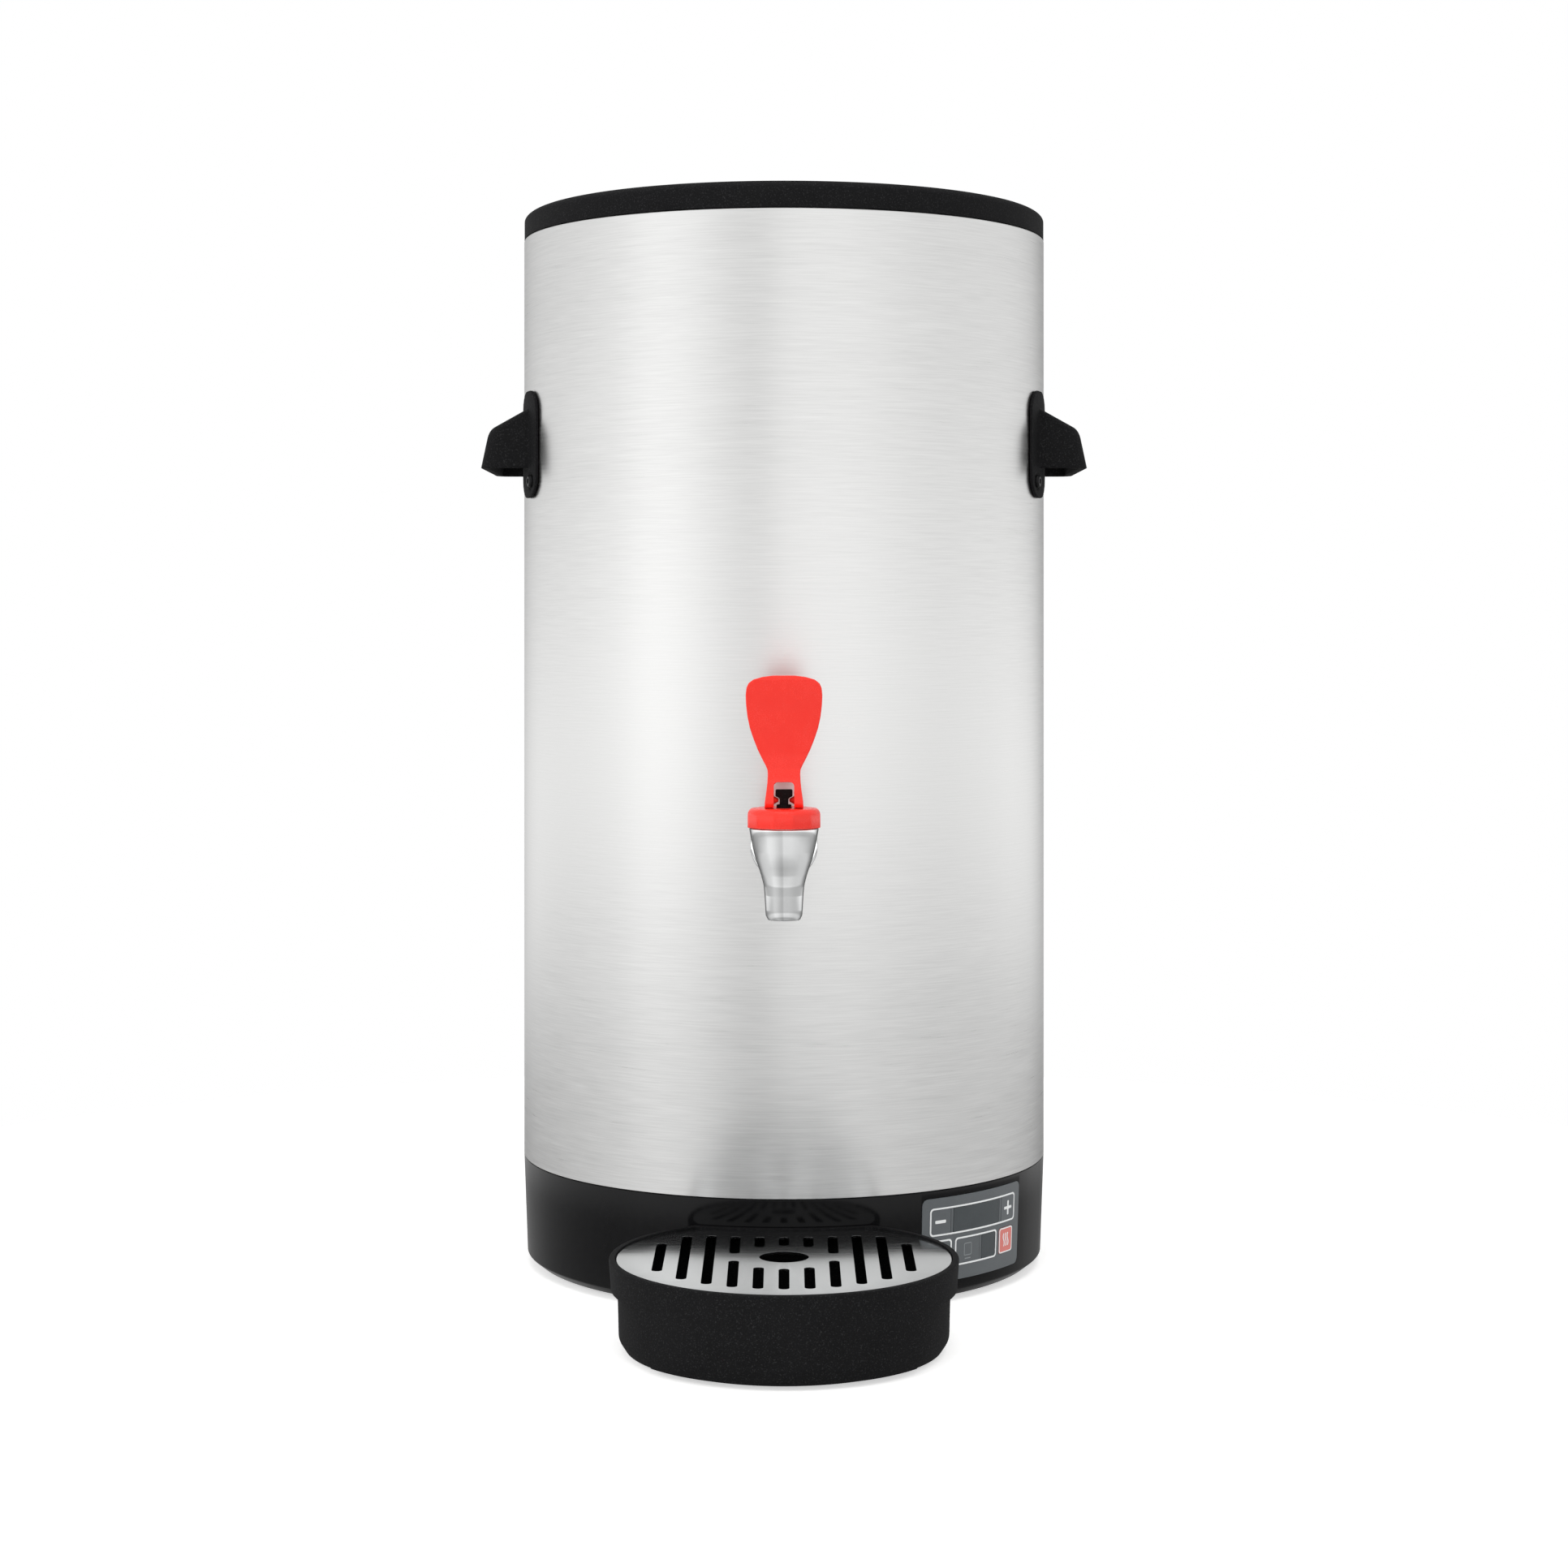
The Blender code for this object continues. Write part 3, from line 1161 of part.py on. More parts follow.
def make_tap_fixings():
    """The gasket on the shell, and the washer and hexagon nut inside the tank."""
    bore = SHANK_RADIUS + SEAT_GAP
    face = BODY_RADIUS + SEAT_GAP
    gasket = ring(bore, GASKET_RADIUS, -face - GASKET_THICKNESS, -face, SMALL_STEPS)
    piece("tap_gasket", along_y(gasket, 0, 0, SHANK_Z), seal_rubber)
    flat = TANK_INNER_RADIUS * math.cos(math.pi / TANK_STEPS)
    washer_face = math.sqrt(flat ** 2 - WASHER_RADIUS ** 2) - SEAT_GAP
    washer_back = washer_face - WASHER_THICKNESS
    washer = ring(bore, WASHER_RADIUS, -washer_face, -washer_back, SMALL_STEPS)
    piece("tank_washer", along_y(washer, 0, 0, SHANK_Z), seal_rubber)
    nut_face = washer_back - SEAT_GAP
    nut = extruded(regular(6, SHANK_NUT_RADIUS), -nut_face, SHANK_NUT_THICKNESS - nut_face)
    shank_nut = piece("shank_nut", along_y(nut, 0, 0, SHANK_Z), plain_steel)
    cut(shank_nut, rod((0, -BODY_RADIUS, SHANK_Z), (0, 0, SHANK_Z), bore))


def make_tap_bonnet():
    """The red twelve-sided cap, hollow over the tap's collar, with a hole for the stem."""
    outline = regular(BONNET_SIDES, BONNET_RADIUS, (0, TAP_Y), 180 / BONNET_SIDES)
    bm = extruded(outline, BONNET_BOTTOM, BONNET_TOP)
    top_edges = [
        edge for edge in bm.edges
        if all(abs(vert.co.z - BONNET_TOP) < MERGE_DISTANCE for vert in edge.verts)
    ]
    bmesh.ops.bevel(bm, geom=top_edges, offset=BONNET_EDGE, segments=4, profile=0.5, affect="EDGES")
    bonnet = piece("tap_bonnet", tidy(bm), tap_red, (0, TAP_Y, BONNET_BOTTOM))
    inside = [
        (0, BONNET_BOTTOM - CUT_OVERRUN),
        (TAP_COLLAR_RADIUS + SEAT_GAP, BONNET_BOTTOM - CUT_OVERRUN),
        (TAP_COLLAR_RADIUS + SEAT_GAP, BONNET_CEILING),
        (STEM_RADIUS + RUN_GAP, BONNET_CEILING),
        (STEM_RADIUS + RUN_GAP, BONNET_TOP + CUT_OVERRUN),
        (0, BONNET_TOP + CUT_OVERRUN),
    ]
    cut(bonnet, turned(inside, SMALL_STEPS, (0, TAP_Y)))


def make_tap_stem():
    """The black stem: a pin in the seat cup, a flange for the spring, and a T head above the bonnet."""
    shoulder = BONNET_TOP + STEM_SHOULDER_RISE
    pin_bottom = STEM_FLANGE_BOTTOM - STEM_PIN_LENGTH
    profile = [
        (0, pin_bottom),
        (STEM_PIN_RADIUS, pin_bottom),
        (STEM_PIN_RADIUS, STEM_FLANGE_BOTTOM),
        (STEM_FLANGE_RADIUS, STEM_FLANGE_BOTTOM),
        (STEM_FLANGE_RADIUS, STEM_FLANGE_TOP),
        (STEM_RADIUS, STEM_FLANGE_TOP),
        (STEM_RADIUS, shoulder),
        (0, shoulder),
    ]
    pivot = (0, TAP_Y, STEM_FLANGE_BOTTOM)
    stem = piece("tap_stem", turned(profile, SMALL_STEPS, (0, TAP_Y)), matt_black, pivot)
    head = [
        (-STEM_NECK_HALF, shoulder - STEM_NECK_HALF),
        (STEM_NECK_HALF, shoulder - STEM_NECK_HALF),
        (STEM_NECK_HALF, BONNET_TOP + STEM_NECK_TOP_RISE),
        (STEM_HEAD_HALF, BONNET_TOP + STEM_HEAD_EDGE_RISE),
        (STEM_HEAD_HALF, BONNET_TOP + STEM_HEAD_RISE),
        (-STEM_HEAD_HALF, BONNET_TOP + STEM_HEAD_RISE),
        (-STEM_HEAD_HALF, BONNET_TOP + STEM_HEAD_EDGE_RISE),
        (-STEM_NECK_HALF, BONNET_TOP + STEM_NECK_TOP_RISE),
    ]
    fuse(stem, extruded(head, TAP_Y - STEM_HEAD_DEPTH / 2, TAP_Y + STEM_HEAD_DEPTH / 2, "Y"))
    hole = STEM_PIN_RADIUS + SEAT_GAP
    hole_bottom = pin_bottom - SEAT_GAP
    cup = [
        (0, SEAT_CUP_BOTTOM),
        (SEAT_CUP_RADIUS, SEAT_CUP_BOTTOM),
        (SEAT_CUP_RADIUS, SEAT_CUP_TOP - SEAT_CUP_WALL),
        (SEAT_CUP_RADIUS - SEAT_CUP_WALL, SEAT_CUP_TOP),
        (hole, SEAT_CUP_TOP),
        (hole, hole_bottom),
        (0, hole_bottom),
    ]
    piece("tap_seat", turned(cup, SMALL_STEPS, (0, TAP_Y)), seal_rubber, pivot)


def make_tap_spring():
    """The closing spring, a helix between the stem's flange and the bonnet's ceiling."""
    low = STEM_FLANGE_TOP + SEAT_GAP + SPRING_WIRE_RADIUS
    high = BONNET_CEILING - SEAT_GAP - SPRING_WIRE_RADIUS
    points = []
    count = SPRING_TURNS * SPRING_POINTS_PER_TURN
    for step in range(count + 1):
        angle = math.tau * step / SPRING_POINTS_PER_TURN
        height = low + (high - low) * step / count
        points.append((SPRING_RADIUS * math.cos(angle), TAP_Y + SPRING_RADIUS * math.sin(angle), height))
    pivot = (0, TAP_Y, BONNET_CEILING)
    piece("tap_spring", bent_tube(points, SPRING_WIRE_RADIUS, 1), plain_steel, pivot)


def make_tap_lever():
    """The red lever: a paddle on two legs whose ears reach under the stem's head."""
    half = [(LEVER_HALF_WIDTH * width, LEVER_BOTTOM + LEVER_HEIGHT * rise) for width, rise in LEVER_FRONT_SHARES]
    front = half + [(-x, z) for x, z in half[::-1]]
    heel = (HEEL_FORWARD, HEEL_Z)
    side = arc(heel, HEEL_RADIUS, 270, 375, 6)
    side += [(LEVER_REACH * reach, LEVER_BOTTOM + LEVER_HEIGHT * rise) for reach, rise in LEVER_SIDE_FRONT_SHARES]
    side += [(LEVER_REACH * reach, LEVER_BOTTOM + LEVER_HEIGHT * rise) for reach, rise in LEVER_SIDE_BACK_SHARES]
    side = [(TAP_Y - forward, height) for forward, height in side]
    pivot = (0, TAP_Y - HEEL_FORWARD, HEEL_Z)
    wide = LEVER_HALF_WIDTH + CUT_OVERRUN
    lever = piece("tap_lever", extruded(side, -wide, wide, "X"), tap_red, pivot)
    near, far = TAP_Y - LEVER_REACH - CUT_OVERRUN, TAP_Y + LEVER_REACH + CUT_OVERRUN
    combine(lever, extruded(front, near, far, "Y"), "INTERSECT")
    window_top = LEVER_BOTTOM + LEVER_WINDOW_HEIGHT
    window = rounded_box((-LEVER_WINDOW_HALF, LEVER_BOTTOM - LEVER_WINDOW_HEIGHT), (LEVER_WINDOW_HALF, window_top),
                         LEVER_WINDOW_CORNER)
    cut(lever, extruded(window, near, far, "Y"))
    ear_z = BONNET_TOP + EAR_RISE
    root = LEVER_WINDOW_HALF + EAR_SINK
    slope = (EAR_ROOT_RADIUS - EAR_TIP_RADIUS) / (LEVER_WINDOW_HALF - EAR_TIP_HALF)
    root_radius = EAR_ROOT_RADIUS + slope * EAR_SINK
    for way in (-1, 1):
        start = (way * root, TAP_Y, ear_z)
        end = (way * EAR_TIP_HALF, TAP_Y, ear_z)
        fuse(lever, rod(start, end, root_radius, TINY_STEPS, EAR_TIP_RADIUS))


# Drip tray and grille

def make_drip_tray():
    """The black tub: its sides drawn in below the rim, its back cut hollow to fit the base."""
    rim_bottom = TRAY_HEIGHT - TRAY_RIM_HEIGHT
    outside = [
        (0, 0),
        (TRAY_BOTTOM_RADIUS, 0),
        (TRAY_LIP_RADIUS, TRAY_LIP_HEIGHT),
        (TRAY_CHAMFER_RADIUS, TRAY_CHAMFER_HEIGHT),
        (TRAY_RIM_RADIUS, TRAY_HEIGHT - TRAY_RIM_EDGE),
        (TRAY_RIM_RADIUS - TRAY_RIM_EDGE, TRAY_HEIGHT),
        (0, TRAY_HEIGHT),
    ]
    tray = piece("drip_tray", turned(outside, TRAY_STEPS, (0, TAP_Y)), matt_black, (0, TAP_Y, 0))
    far = TRAY_RIM_RADIUS + CUT_OVERRUN
    drawn_in = [
        (TRAY_FOOT_RADIUS, -CUT_OVERRUN),
        (TRAY_FOOT_RADIUS, 0),
        (TRAY_LOW_RADIUS, TRAY_LOW_HEIGHT),
        (TRAY_NECK_RADIUS, rim_bottom),
        (far, rim_bottom),
        (far, -CUT_OVERRUN),
    ]
    recess = add_object("tray_recess", turned(drawn_in, TRAY_STEPS, (0, TAP_Y)), (0, 0, 0))
    recess.hide_render = True
    recess.display_type = "WIRE"
    behind = rounded_box((TAP_Y - TRAY_RECESS_REACH, rim_bottom - 2 * TRAY_RIM_RADIUS), (TAP_Y + far, rim_bottom),
                         TRAY_RECESS_CORNER)
    combine(recess, extruded(behind, -far - CUT_OVERRUN, far + CUT_OVERRUN, "X"), "INTERSECT")
    modifier = tray.modifiers.new("recess", "BOOLEAN")
    modifier.operation = "DIFFERENCE"
    modifier.solver = "EXACT"
    modifier.object = recess
    low, high = -CUT_OVERRUN, TRAY_HEIGHT + CUT_OVERRUN
    low_back, high_back = base_radius(low) + SEAT_GAP, base_radius(high) + SEAT_GAP
    cut(tray, turned([(0, low), (low_back, low), (high_back, high), (0, high)], BODY_STEPS))
    grille_seat_radius = GRILLE_RADIUS + GRILLE_EDGE_GAP
    ledge = grille_seat_radius - TRAY_LEDGE_WIDTH
    basin = [
        (0, TRAY_FLOOR),
        (TRAY_FOOT_RADIUS - TRAY_WALL, TRAY_FLOOR),
        (TRAY_LOW_RADIUS - TRAY_WALL, TRAY_LOW_HEIGHT),
        (TRAY_NECK_RADIUS - TRAY_WALL, rim_bottom - TRAY_WALL),
        (ledge, rim_bottom + TRAY_NECK_FILLET),
        (ledge, high),
        (0, high),
    ]
    carve_with_back(tray, basin, TRAY_BACK_RADIUS + TRAY_WALL + TRAY_LEDGE_WIDTH)
    seat = [(0, GRILLE_SEAT), (grille_seat_radius, GRILLE_SEAT), (grille_seat_radius, high), (0, high)]
    carve_with_back(tray, seat, TRAY_BACK_RADIUS + TRAY_WALL)


def carve_with_back(tray, profile, back_radius):
    """Cuts a turned hollow whose back stays clear of the base by following its circle."""
    helper = add_object("tray_hollow", turned(profile, TRAY_STEPS, (0, TAP_Y)), (0, 0, 0))
    helper.hide_render = True
    helper.display_type = "WIRE"
    low, high = -CUT_OVERRUN, TRAY_HEIGHT + 2 * CUT_OVERRUN
    cut(helper, turned([(0, low), (back_radius, low), (back_radius, high), (0, high)], BODY_STEPS))
    modifier = tray.modifiers.new("hollow", "BOOLEAN")
    modifier.operation = "DIFFERENCE"
    modifier.solver = "EXACT"
    modifier.object = helper


def slot_spans(x, back_radius):
    """The front and back stretches of a slot on the grille, as reaches ahead of the tap's axis."""
    front = math.sqrt(SLOT_FIELD_RADIUS ** 2 - x ** 2)
    back_line = math.sqrt(back_radius ** 2 - x ** 2) + TAP_Y
    back = max(-front, back_line)
    if abs(x) >= SLOT_CLEAR_RADIUS:
        return [(back, front)]
    clear = math.sqrt(SLOT_CLEAR_RADIUS ** 2 - x ** 2)
    return [(back, -clear), (clear, front)]


def make_drip_grille():
    """The slotted plate that lies in the tray, with a drain hole under the spout."""
    disc = [(0, GRILLE_BOTTOM), (GRILLE_RADIUS, GRILLE_BOTTOM), (GRILLE_RADIUS, GRILLE_TOP), (0, GRILLE_TOP)]
    grille = piece("drip_grille", turned(disc, TRAY_STEPS, (0, TAP_Y)), brushed_steel, (0, TAP_Y, GRILLE_BOTTOM))
    low, high = GRILLE_BOTTOM - CUT_OVERRUN, GRILLE_TOP + CUT_OVERRUN
    edge = TRAY_BACK_RADIUS + TRAY_WALL + GRILLE_EDGE_GAP
    cut(grille, turned([(0, low), (edge, low), (edge, high), (0, high)], BODY_STEPS))
    half = SLOT_WIDTH / 2
    cutters = [rod((0, TAP_Y, low), (0, TAP_Y, high), DRAIN_HOLE_RADIUS)]
    per_side = min(SLOT_COUNT_PER_SIDE, int((SLOT_FIELD_RADIUS - SLOT_WIDTH) / SLOT_PITCH))
    for column in range(-per_side, per_side + 1):
        x = column * SLOT_PITCH
        for back, front in slot_spans(x, edge + SLOT_BACK_MARGIN):
            outline = arc((x, TAP_Y - back - half), half, 0, 180, CORNER_STEPS)
            outline += arc((x, TAP_Y - front + half), half, 180, 360, CORNER_STEPS)
            cutters.append(extruded(outline, low, high))
    cut(grille, joined(cutters))


# Control panel

def make_panel():
    """The foil in its recess, with captured keys and two windows."""
    heights = (BASE_TOP - PANEL_DROP - PANEL_HEIGHT, BASE_TOP - PANEL_DROP)
    foil_back = SEAT_GAP - PANEL_RECESS
    foil_front = foil_back + FOIL_THICKNESS
    depths = (foil_back, foil_front)
    foil = piece("panel_foil", curved_slab(base_radius, PANEL_AZIMUTHS, heights, depths, PANEL_CORNER), foil_grey)
    through = (foil_back - CUT_OVERRUN, foil_front + CUT_OVERRUN)
    holes = []
    for _name, span, drop in KEY_PLACES + WINDOW_PLACES:
        azimuths, key_heights = key_bounds(span, drop, SEAT_GAP)
        holes.append(curved_slab(base_radius, azimuths, key_heights, through, KEY_CORNER))
    cut(foil, joined(holes))
    for name, span, drop in WINDOW_PLACES:
        azimuths, key_heights = key_bounds(span, drop, 0)
        piece(name, curved_slab(base_radius, azimuths, key_heights, depths, KEY_CORNER), window_grey)
    for name, span, drop in KEY_PLACES:
        make_key(name, span, drop, foil_back, foil_front + KEY_PROUD)


def make_key(name, span, drop, foil_back, front):
    """A key: its face in the foil's opening, on a flange that the foil holds in."""
    azimuths, heights = key_bounds(span, drop, 0)
    middle = polar(sum(span) / 2, base_radius(sum(heights) / 2), sum(heights) / 2)
    flange_front = foil_back - SEAT_GAP
    flange_back = flange_front - KEY_FLANGE_THICKNESS
    material = key_red if name == "key_boil" else foil_grey
    face = curved_slab(base_radius, azimuths, heights, (flange_back + KEY_FLANGE_THICKNESS / 2, front), KEY_CORNER)
    key = piece(name, face, material, middle)
    wide_azimuths, wide_heights = key_bounds(span, drop, KEY_FLANGE_WIDTH)
    fuse(key, curved_slab(base_radius, wide_azimuths, wide_heights, (flange_back, flange_front), KEY_CORNER))


def panel_block(width, low, high, inner, outer):
    """A block square to the panel's middle, between two distances from the body's axis."""
    half = width / 2
    bm = box((-half, -outer, low), (half, -inner, high))
    turn = Matrix.Rotation(math.radians(sum(PANEL_AZIMUTHS) / 2), 4, "Z")
    bmesh.ops.transform(bm, matrix=turn, verts=bm.verts)
    return bm


def make_panel_electronics():
    """The control board in the base's wall, and the display on it."""
    outer = BODY_RADIUS - CONTROL_BOARD_DEPTH
    inner = outer - CONTROL_BOARD_THICKNESS
    top = CONTROL_BOARD_BOTTOM + CONTROL_BOARD_HEIGHT
    wall = (base_radius(CONTROL_BOARD_BOTTOM) - BASE_WALL) * math.cos(math.pi / BODY_STEPS) - SEAT_GAP
    width = 2 * math.sqrt(wall ** 2 - outer ** 2)
    piece("control_board", panel_block(width, CONTROL_BOARD_BOTTOM, top, inner, outer), board_green)
    display_top = BASE_TOP - UPPER_ROW_DROP - (ROW_HEIGHT - DISPLAY_MODULE_HEIGHT) / 2
    display_bottom = display_top - DISPLAY_MODULE_HEIGHT
    wall_inside = base_radius(display_bottom) - BASE_WALL - DISPLAY_MODULE_GAP
    display_face = math.sqrt(wall_inside ** 2 - (DISPLAY_MODULE_WIDTH / 2) ** 2)
    module = panel_block(DISPLAY_MODULE_WIDTH, display_bottom, display_top, outer + SEAT_GAP, display_face)
    piece("display_module", module, matt_black)


def make_power_board():
    """The relay board on four standoffs over the base plate."""
    low_x = POWER_BOARD_CENTRE[0] - POWER_BOARD_SIZE[0] / 2
    low_y = POWER_BOARD_CENTRE[1] - POWER_BOARD_SIZE[1] / 2
    high_x = low_x + POWER_BOARD_SIZE[0]
    high_y = low_y + POWER_BOARD_SIZE[1]
    foot = PLATE_TOP + SEAT_GAP
    bottom = foot + STANDOFF_HEIGHT
    top = bottom + POWER_BOARD_THICKNESS
    board = piece("power_board", box((low_x, low_y, bottom), (high_x, high_y, top)), board_green)
    middle = bottom + POWER_BOARD_THICKNESS / 2
    posts = []
    for x in (low_x + STANDOFF_INSET, high_x - STANDOFF_INSET):
        for y in (low_y + STANDOFF_INSET, high_y - STANDOFF_INSET):
            posts.append(rod((x, y, foot), (x, y, middle), STANDOFF_RADIUS, TINY_STEPS))
    relays = []
    for number in range(RELAY_COUNT):
        x = POWER_BOARD_CENTRE[0] + (number - (RELAY_COUNT - 1) / 2) * RELAY_PITCH
        y = POWER_BOARD_CENTRE[1]
        low = (x - RELAY_SIZE[0] / 2, y - RELAY_SIZE[1] / 2, middle)
        high = (x + RELAY_SIZE[0] / 2, y + RELAY_SIZE[1] / 2, top + RELAY_SIZE[2])
        relays.append(box(low, high))
    fuse(board, joined(posts))
    fuse(board, joined(relays))


# Water and power connections

def make_inlet():
    """The threaded inlet in the base's boss, its nut, and the valve behind it."""
    x, z = INLET_OFFSET, BACK_FITTING_HEIGHT
    boss_inside = BODY_RADIUS - BOSS_DEPTH
    collar_front = boss_inside - SEAT_GAP
    collar_back = collar_front - INLET_COLLAR_THICKNESS
    bore_bottom = INLET_END_Y - INLET_BORE_DEPTH
    profile = [
        (0, collar_back),
        (INLET_COLLAR_RADIUS, collar_back),
        (INLET_COLLAR_RADIUS, collar_front),
        (INLET_RADIUS, collar_front),
        (INLET_RADIUS, INLET_END_Y),
        (INLET_BORE_RADIUS, INLET_END_Y),
        (INLET_BORE_RADIUS, bore_bottom),
        (0, bore_bottom),
    ]
    piece("inlet_nipple", along_y(turned(profile, SMALL_STEPS), x, 0, z), plain_steel, (x, INLET_END_Y, z))
    nut_face = BODY_RADIUS + SEAT_GAP
    nut = extruded(regular(6, INLET_NUT_RADIUS), nut_face, nut_face + INLET_NUT_THICKNESS)
    inlet_nut = piece("inlet_nut", along_y(nut, x, 0, z), plain_steel)
    cut(inlet_nut, rod((x, boss_inside, z), (x, INLET_END_Y, z), INLET_RADIUS + SEAT_GAP))
    valve_back = collar_back - SEAT_GAP
    valve_front = valve_back - VALVE_SIZE[1]
    half_x, half_z = VALVE_SIZE[0] / 2, VALVE_SIZE[2] / 2
    valve = piece("inlet_valve", box((x - half_x, valve_front, z - half_z), (x + half_x, valve_back, z + half_z)),
                  matt_black)
    barb_end = valve_front - VALVE_BARB_LENGTH
    fuse(valve, rod((x, barb_end, z), (x, valve_front + CUT_OVERRUN, z), VALVE_BARB_RADIUS))
    coil_bottom = z + half_z + SEAT_GAP
    middle_y = (valve_front + valve_back) / 2
    low = (x - COIL_SIZE[0] / 2, middle_y - COIL_SIZE[1] / 2, coil_bottom)
    high = (x + COIL_SIZE[0] / 2, middle_y + COIL_SIZE[1] / 2, coil_bottom + COIL_SIZE[2])
    piece("valve_coil", box(low, high), brass)
    corners = [
        (x, valve_front - SEAT_GAP, z),
        (x, HOSE_RISE_Y, z),
        (x, HOSE_RISE_Y, TANK_FLOOR - SEAT_GAP),
    ]
    hose = piece("fill_hose", bent_tube(rounded_route(corners, [HOSE_BEND_RADIUS]), HOSE_RADIUS), seal_rubber)
    corners[0] = (x, valve_front - SEAT_GAP + CUT_OVERRUN, z)
    corners[2] = (x, HOSE_RISE_Y, TANK_FLOOR + CUT_OVERRUN)
    cut(hose, bent_tube(rounded_route(corners, [HOSE_BEND_RADIUS]), HOSE_BORE_RADIUS))


def make_cable_gland():
    """The power cord's gland in its boss, with its nut inside; the bore runs right through."""
    x, z = -GLAND_OFFSET, BACK_FITTING_HEIGHT
    inside_end = BODY_RADIUS - BOSS_DEPTH - GLAND_THREAD_INSIDE
    hex_face = BODY_RADIUS + SEAT_GAP
    dome_start = hex_face + GLAND_HEX_THICKNESS
    dome_end = dome_start + GLAND_DOME_LENGTH
    profile = [
        (0, inside_end),
        (GLAND_THREAD_RADIUS, inside_end),
        (GLAND_THREAD_RADIUS, hex_face + GLAND_HEX_THICKNESS / 2),
        (GLAND_DOME_RADIUS, hex_face + GLAND_HEX_THICKNESS / 2),
        (GLAND_DOME_RADIUS, (dome_start + dome_end) / 2),
        (GLAND_DOME_TIP_RADIUS, dome_end),
        (0, dome_end),
    ]
    gland = piece("cable_gland", along_y(turned(profile, SMALL_STEPS), x, 0, z), matt_black)
    fuse(gland, along_y(extruded(regular(6, GLAND_HEX_RADIUS), hex_face, dome_start), x, 0, z))
    cut(gland, rod((x, inside_end - CUT_OVERRUN, z), (x, dome_end + CUT_OVERRUN, z), GLAND_BORE_RADIUS))
    nut_face = BODY_RADIUS - BOSS_DEPTH - SEAT_GAP
    nut = extruded(regular(6, GLAND_HEX_RADIUS), nut_face - GLAND_NUT_THICKNESS, nut_face)
    gland_nut = piece("gland_nut", along_y(nut, x, 0, z), matt_black)
    cut(gland_nut, rod((x, inside_end - CUT_OVERRUN, z), (x, BODY_RADIUS, z), GLAND_THREAD_RADIUS + SEAT_GAP))


def make_overflow_pipe():
    """The standpipe in the tank, led out through the back of the base."""
    x, y, z = OVERFLOW_X, OVERFLOW_Y, BACK_FITTING_HEIGHT
    wall_y = math.sqrt(base_radius(z) ** 2 - x ** 2)
    end = wall_y + OVERFLOW_END_REACH
    top = SHELL_TOP - OVERFLOW_TOP_DROP
    corners = [(x, end, z), (x, y, z), (x, y, top)]
    pipe = piece("overflow_pipe", bent_tube(rounded_route(corners, [OVERFLOW_BEND_RADIUS]), OVERFLOW_RADIUS),
                 plain_steel)
    corners = [(x, end + CUT_OVERRUN, z), (x, y, z), (x, y, top + CUT_OVERRUN)]
    cut(pipe, bent_tube(rounded_route(corners, [OVERFLOW_BEND_RADIUS]), OVERFLOW_BORE_RADIUS))


# Heating and sensors

def make_heating():
    """The element's loop over the tank's floor and the plug that carries it."""
    hex_top = TANK_FLOOR - SEAT_GAP
    hex_bottom = hex_top - PLUG_HEX_THICKNESS
    neck_top = TANK_FLOOR_INSIDE + PLUG_NECK_RISE
    plug = piece("element_plug", extruded(regular(6, PLUG_HEX_RADIUS, (0, PLUG_Y)), hex_bottom, hex_top), brass)
    fuse(plug, rod((0, PLUG_Y, hex_bottom + PLUG_HEX_THICKNESS / 2), (0, PLUG_Y, neck_top), PLUG_NECK_RADIUS))
    terminals = []
    for way in (-1, 1):
        x = way * ELEMENT_LEG_HALF
        low = hex_bottom - TERMINAL_LENGTH
        high = hex_bottom + PLUG_HEX_THICKNESS / 4
        terminals.append(rod((x, PLUG_Y, low), (x, PLUG_Y, high), TERMINAL_RADIUS, TINY_STEPS))
    fuse(plug, joined(terminals))
    loop_z = TANK_FLOOR_INSIDE + ELEMENT_RISE
    start = neck_top + SEAT_GAP
    leg, wide = ELEMENT_LEG_HALF, ELEMENT_HALF_WIDTH
    corners = [
        (-leg, PLUG_Y, start),
        (-leg, PLUG_Y, loop_z),
        (-wide, PLUG_Y, loop_z),
        (-wide, ELEMENT_FRONT, loop_z),
        (wide, ELEMENT_FRONT, loop_z),
        (wide, PLUG_Y, loop_z),
        (leg, PLUG_Y, loop_z),
        (leg, PLUG_Y, start),
    ]
    bends = [ELEMENT_LEG_BEND] + [ELEMENT_LOOP_BEND] * 4 + [ELEMENT_LEG_BEND]
    piece("heating_element", bent_tube(rounded_route(corners, bends), ELEMENT_RADIUS), plain_steel)


def make_floor_sensors():
    """The temperature probe through the tank's floor and the dry boil cutout under it."""
    under = TANK_FLOOR - SEAT_GAP
    x, y = PROBE_PLACE
    probe = piece("temperature_probe", extruded(regular(6, PROBE_HEX_RADIUS, PROBE_PLACE),
                                                under - PROBE_HEX_THICKNESS, under), plain_steel)
    fuse(probe, rod((x, y, under - PROBE_HEX_THICKNESS / 2), (x, y, TANK_FLOOR_INSIDE + PROBE_RISE), PROBE_RADIUS,
                    TINY_STEPS))
    x, y = CUTOUT_PLACE
    bottom = under - CUTOUT_THICKNESS
    cutout = piece("boil_dry_cutout", rod((x, y, bottom), (x, y, under), CUTOUT_RADIUS), matt_black)
    tab = box((x - CUTOUT_TAB_REACH, y - CUTOUT_TAB_HALF, under - CUTOUT_TAB_THICKNESS),
              (x + CUTOUT_TAB_REACH, y + CUTOUT_TAB_HALF, under))
    fuse(cutout, tab)


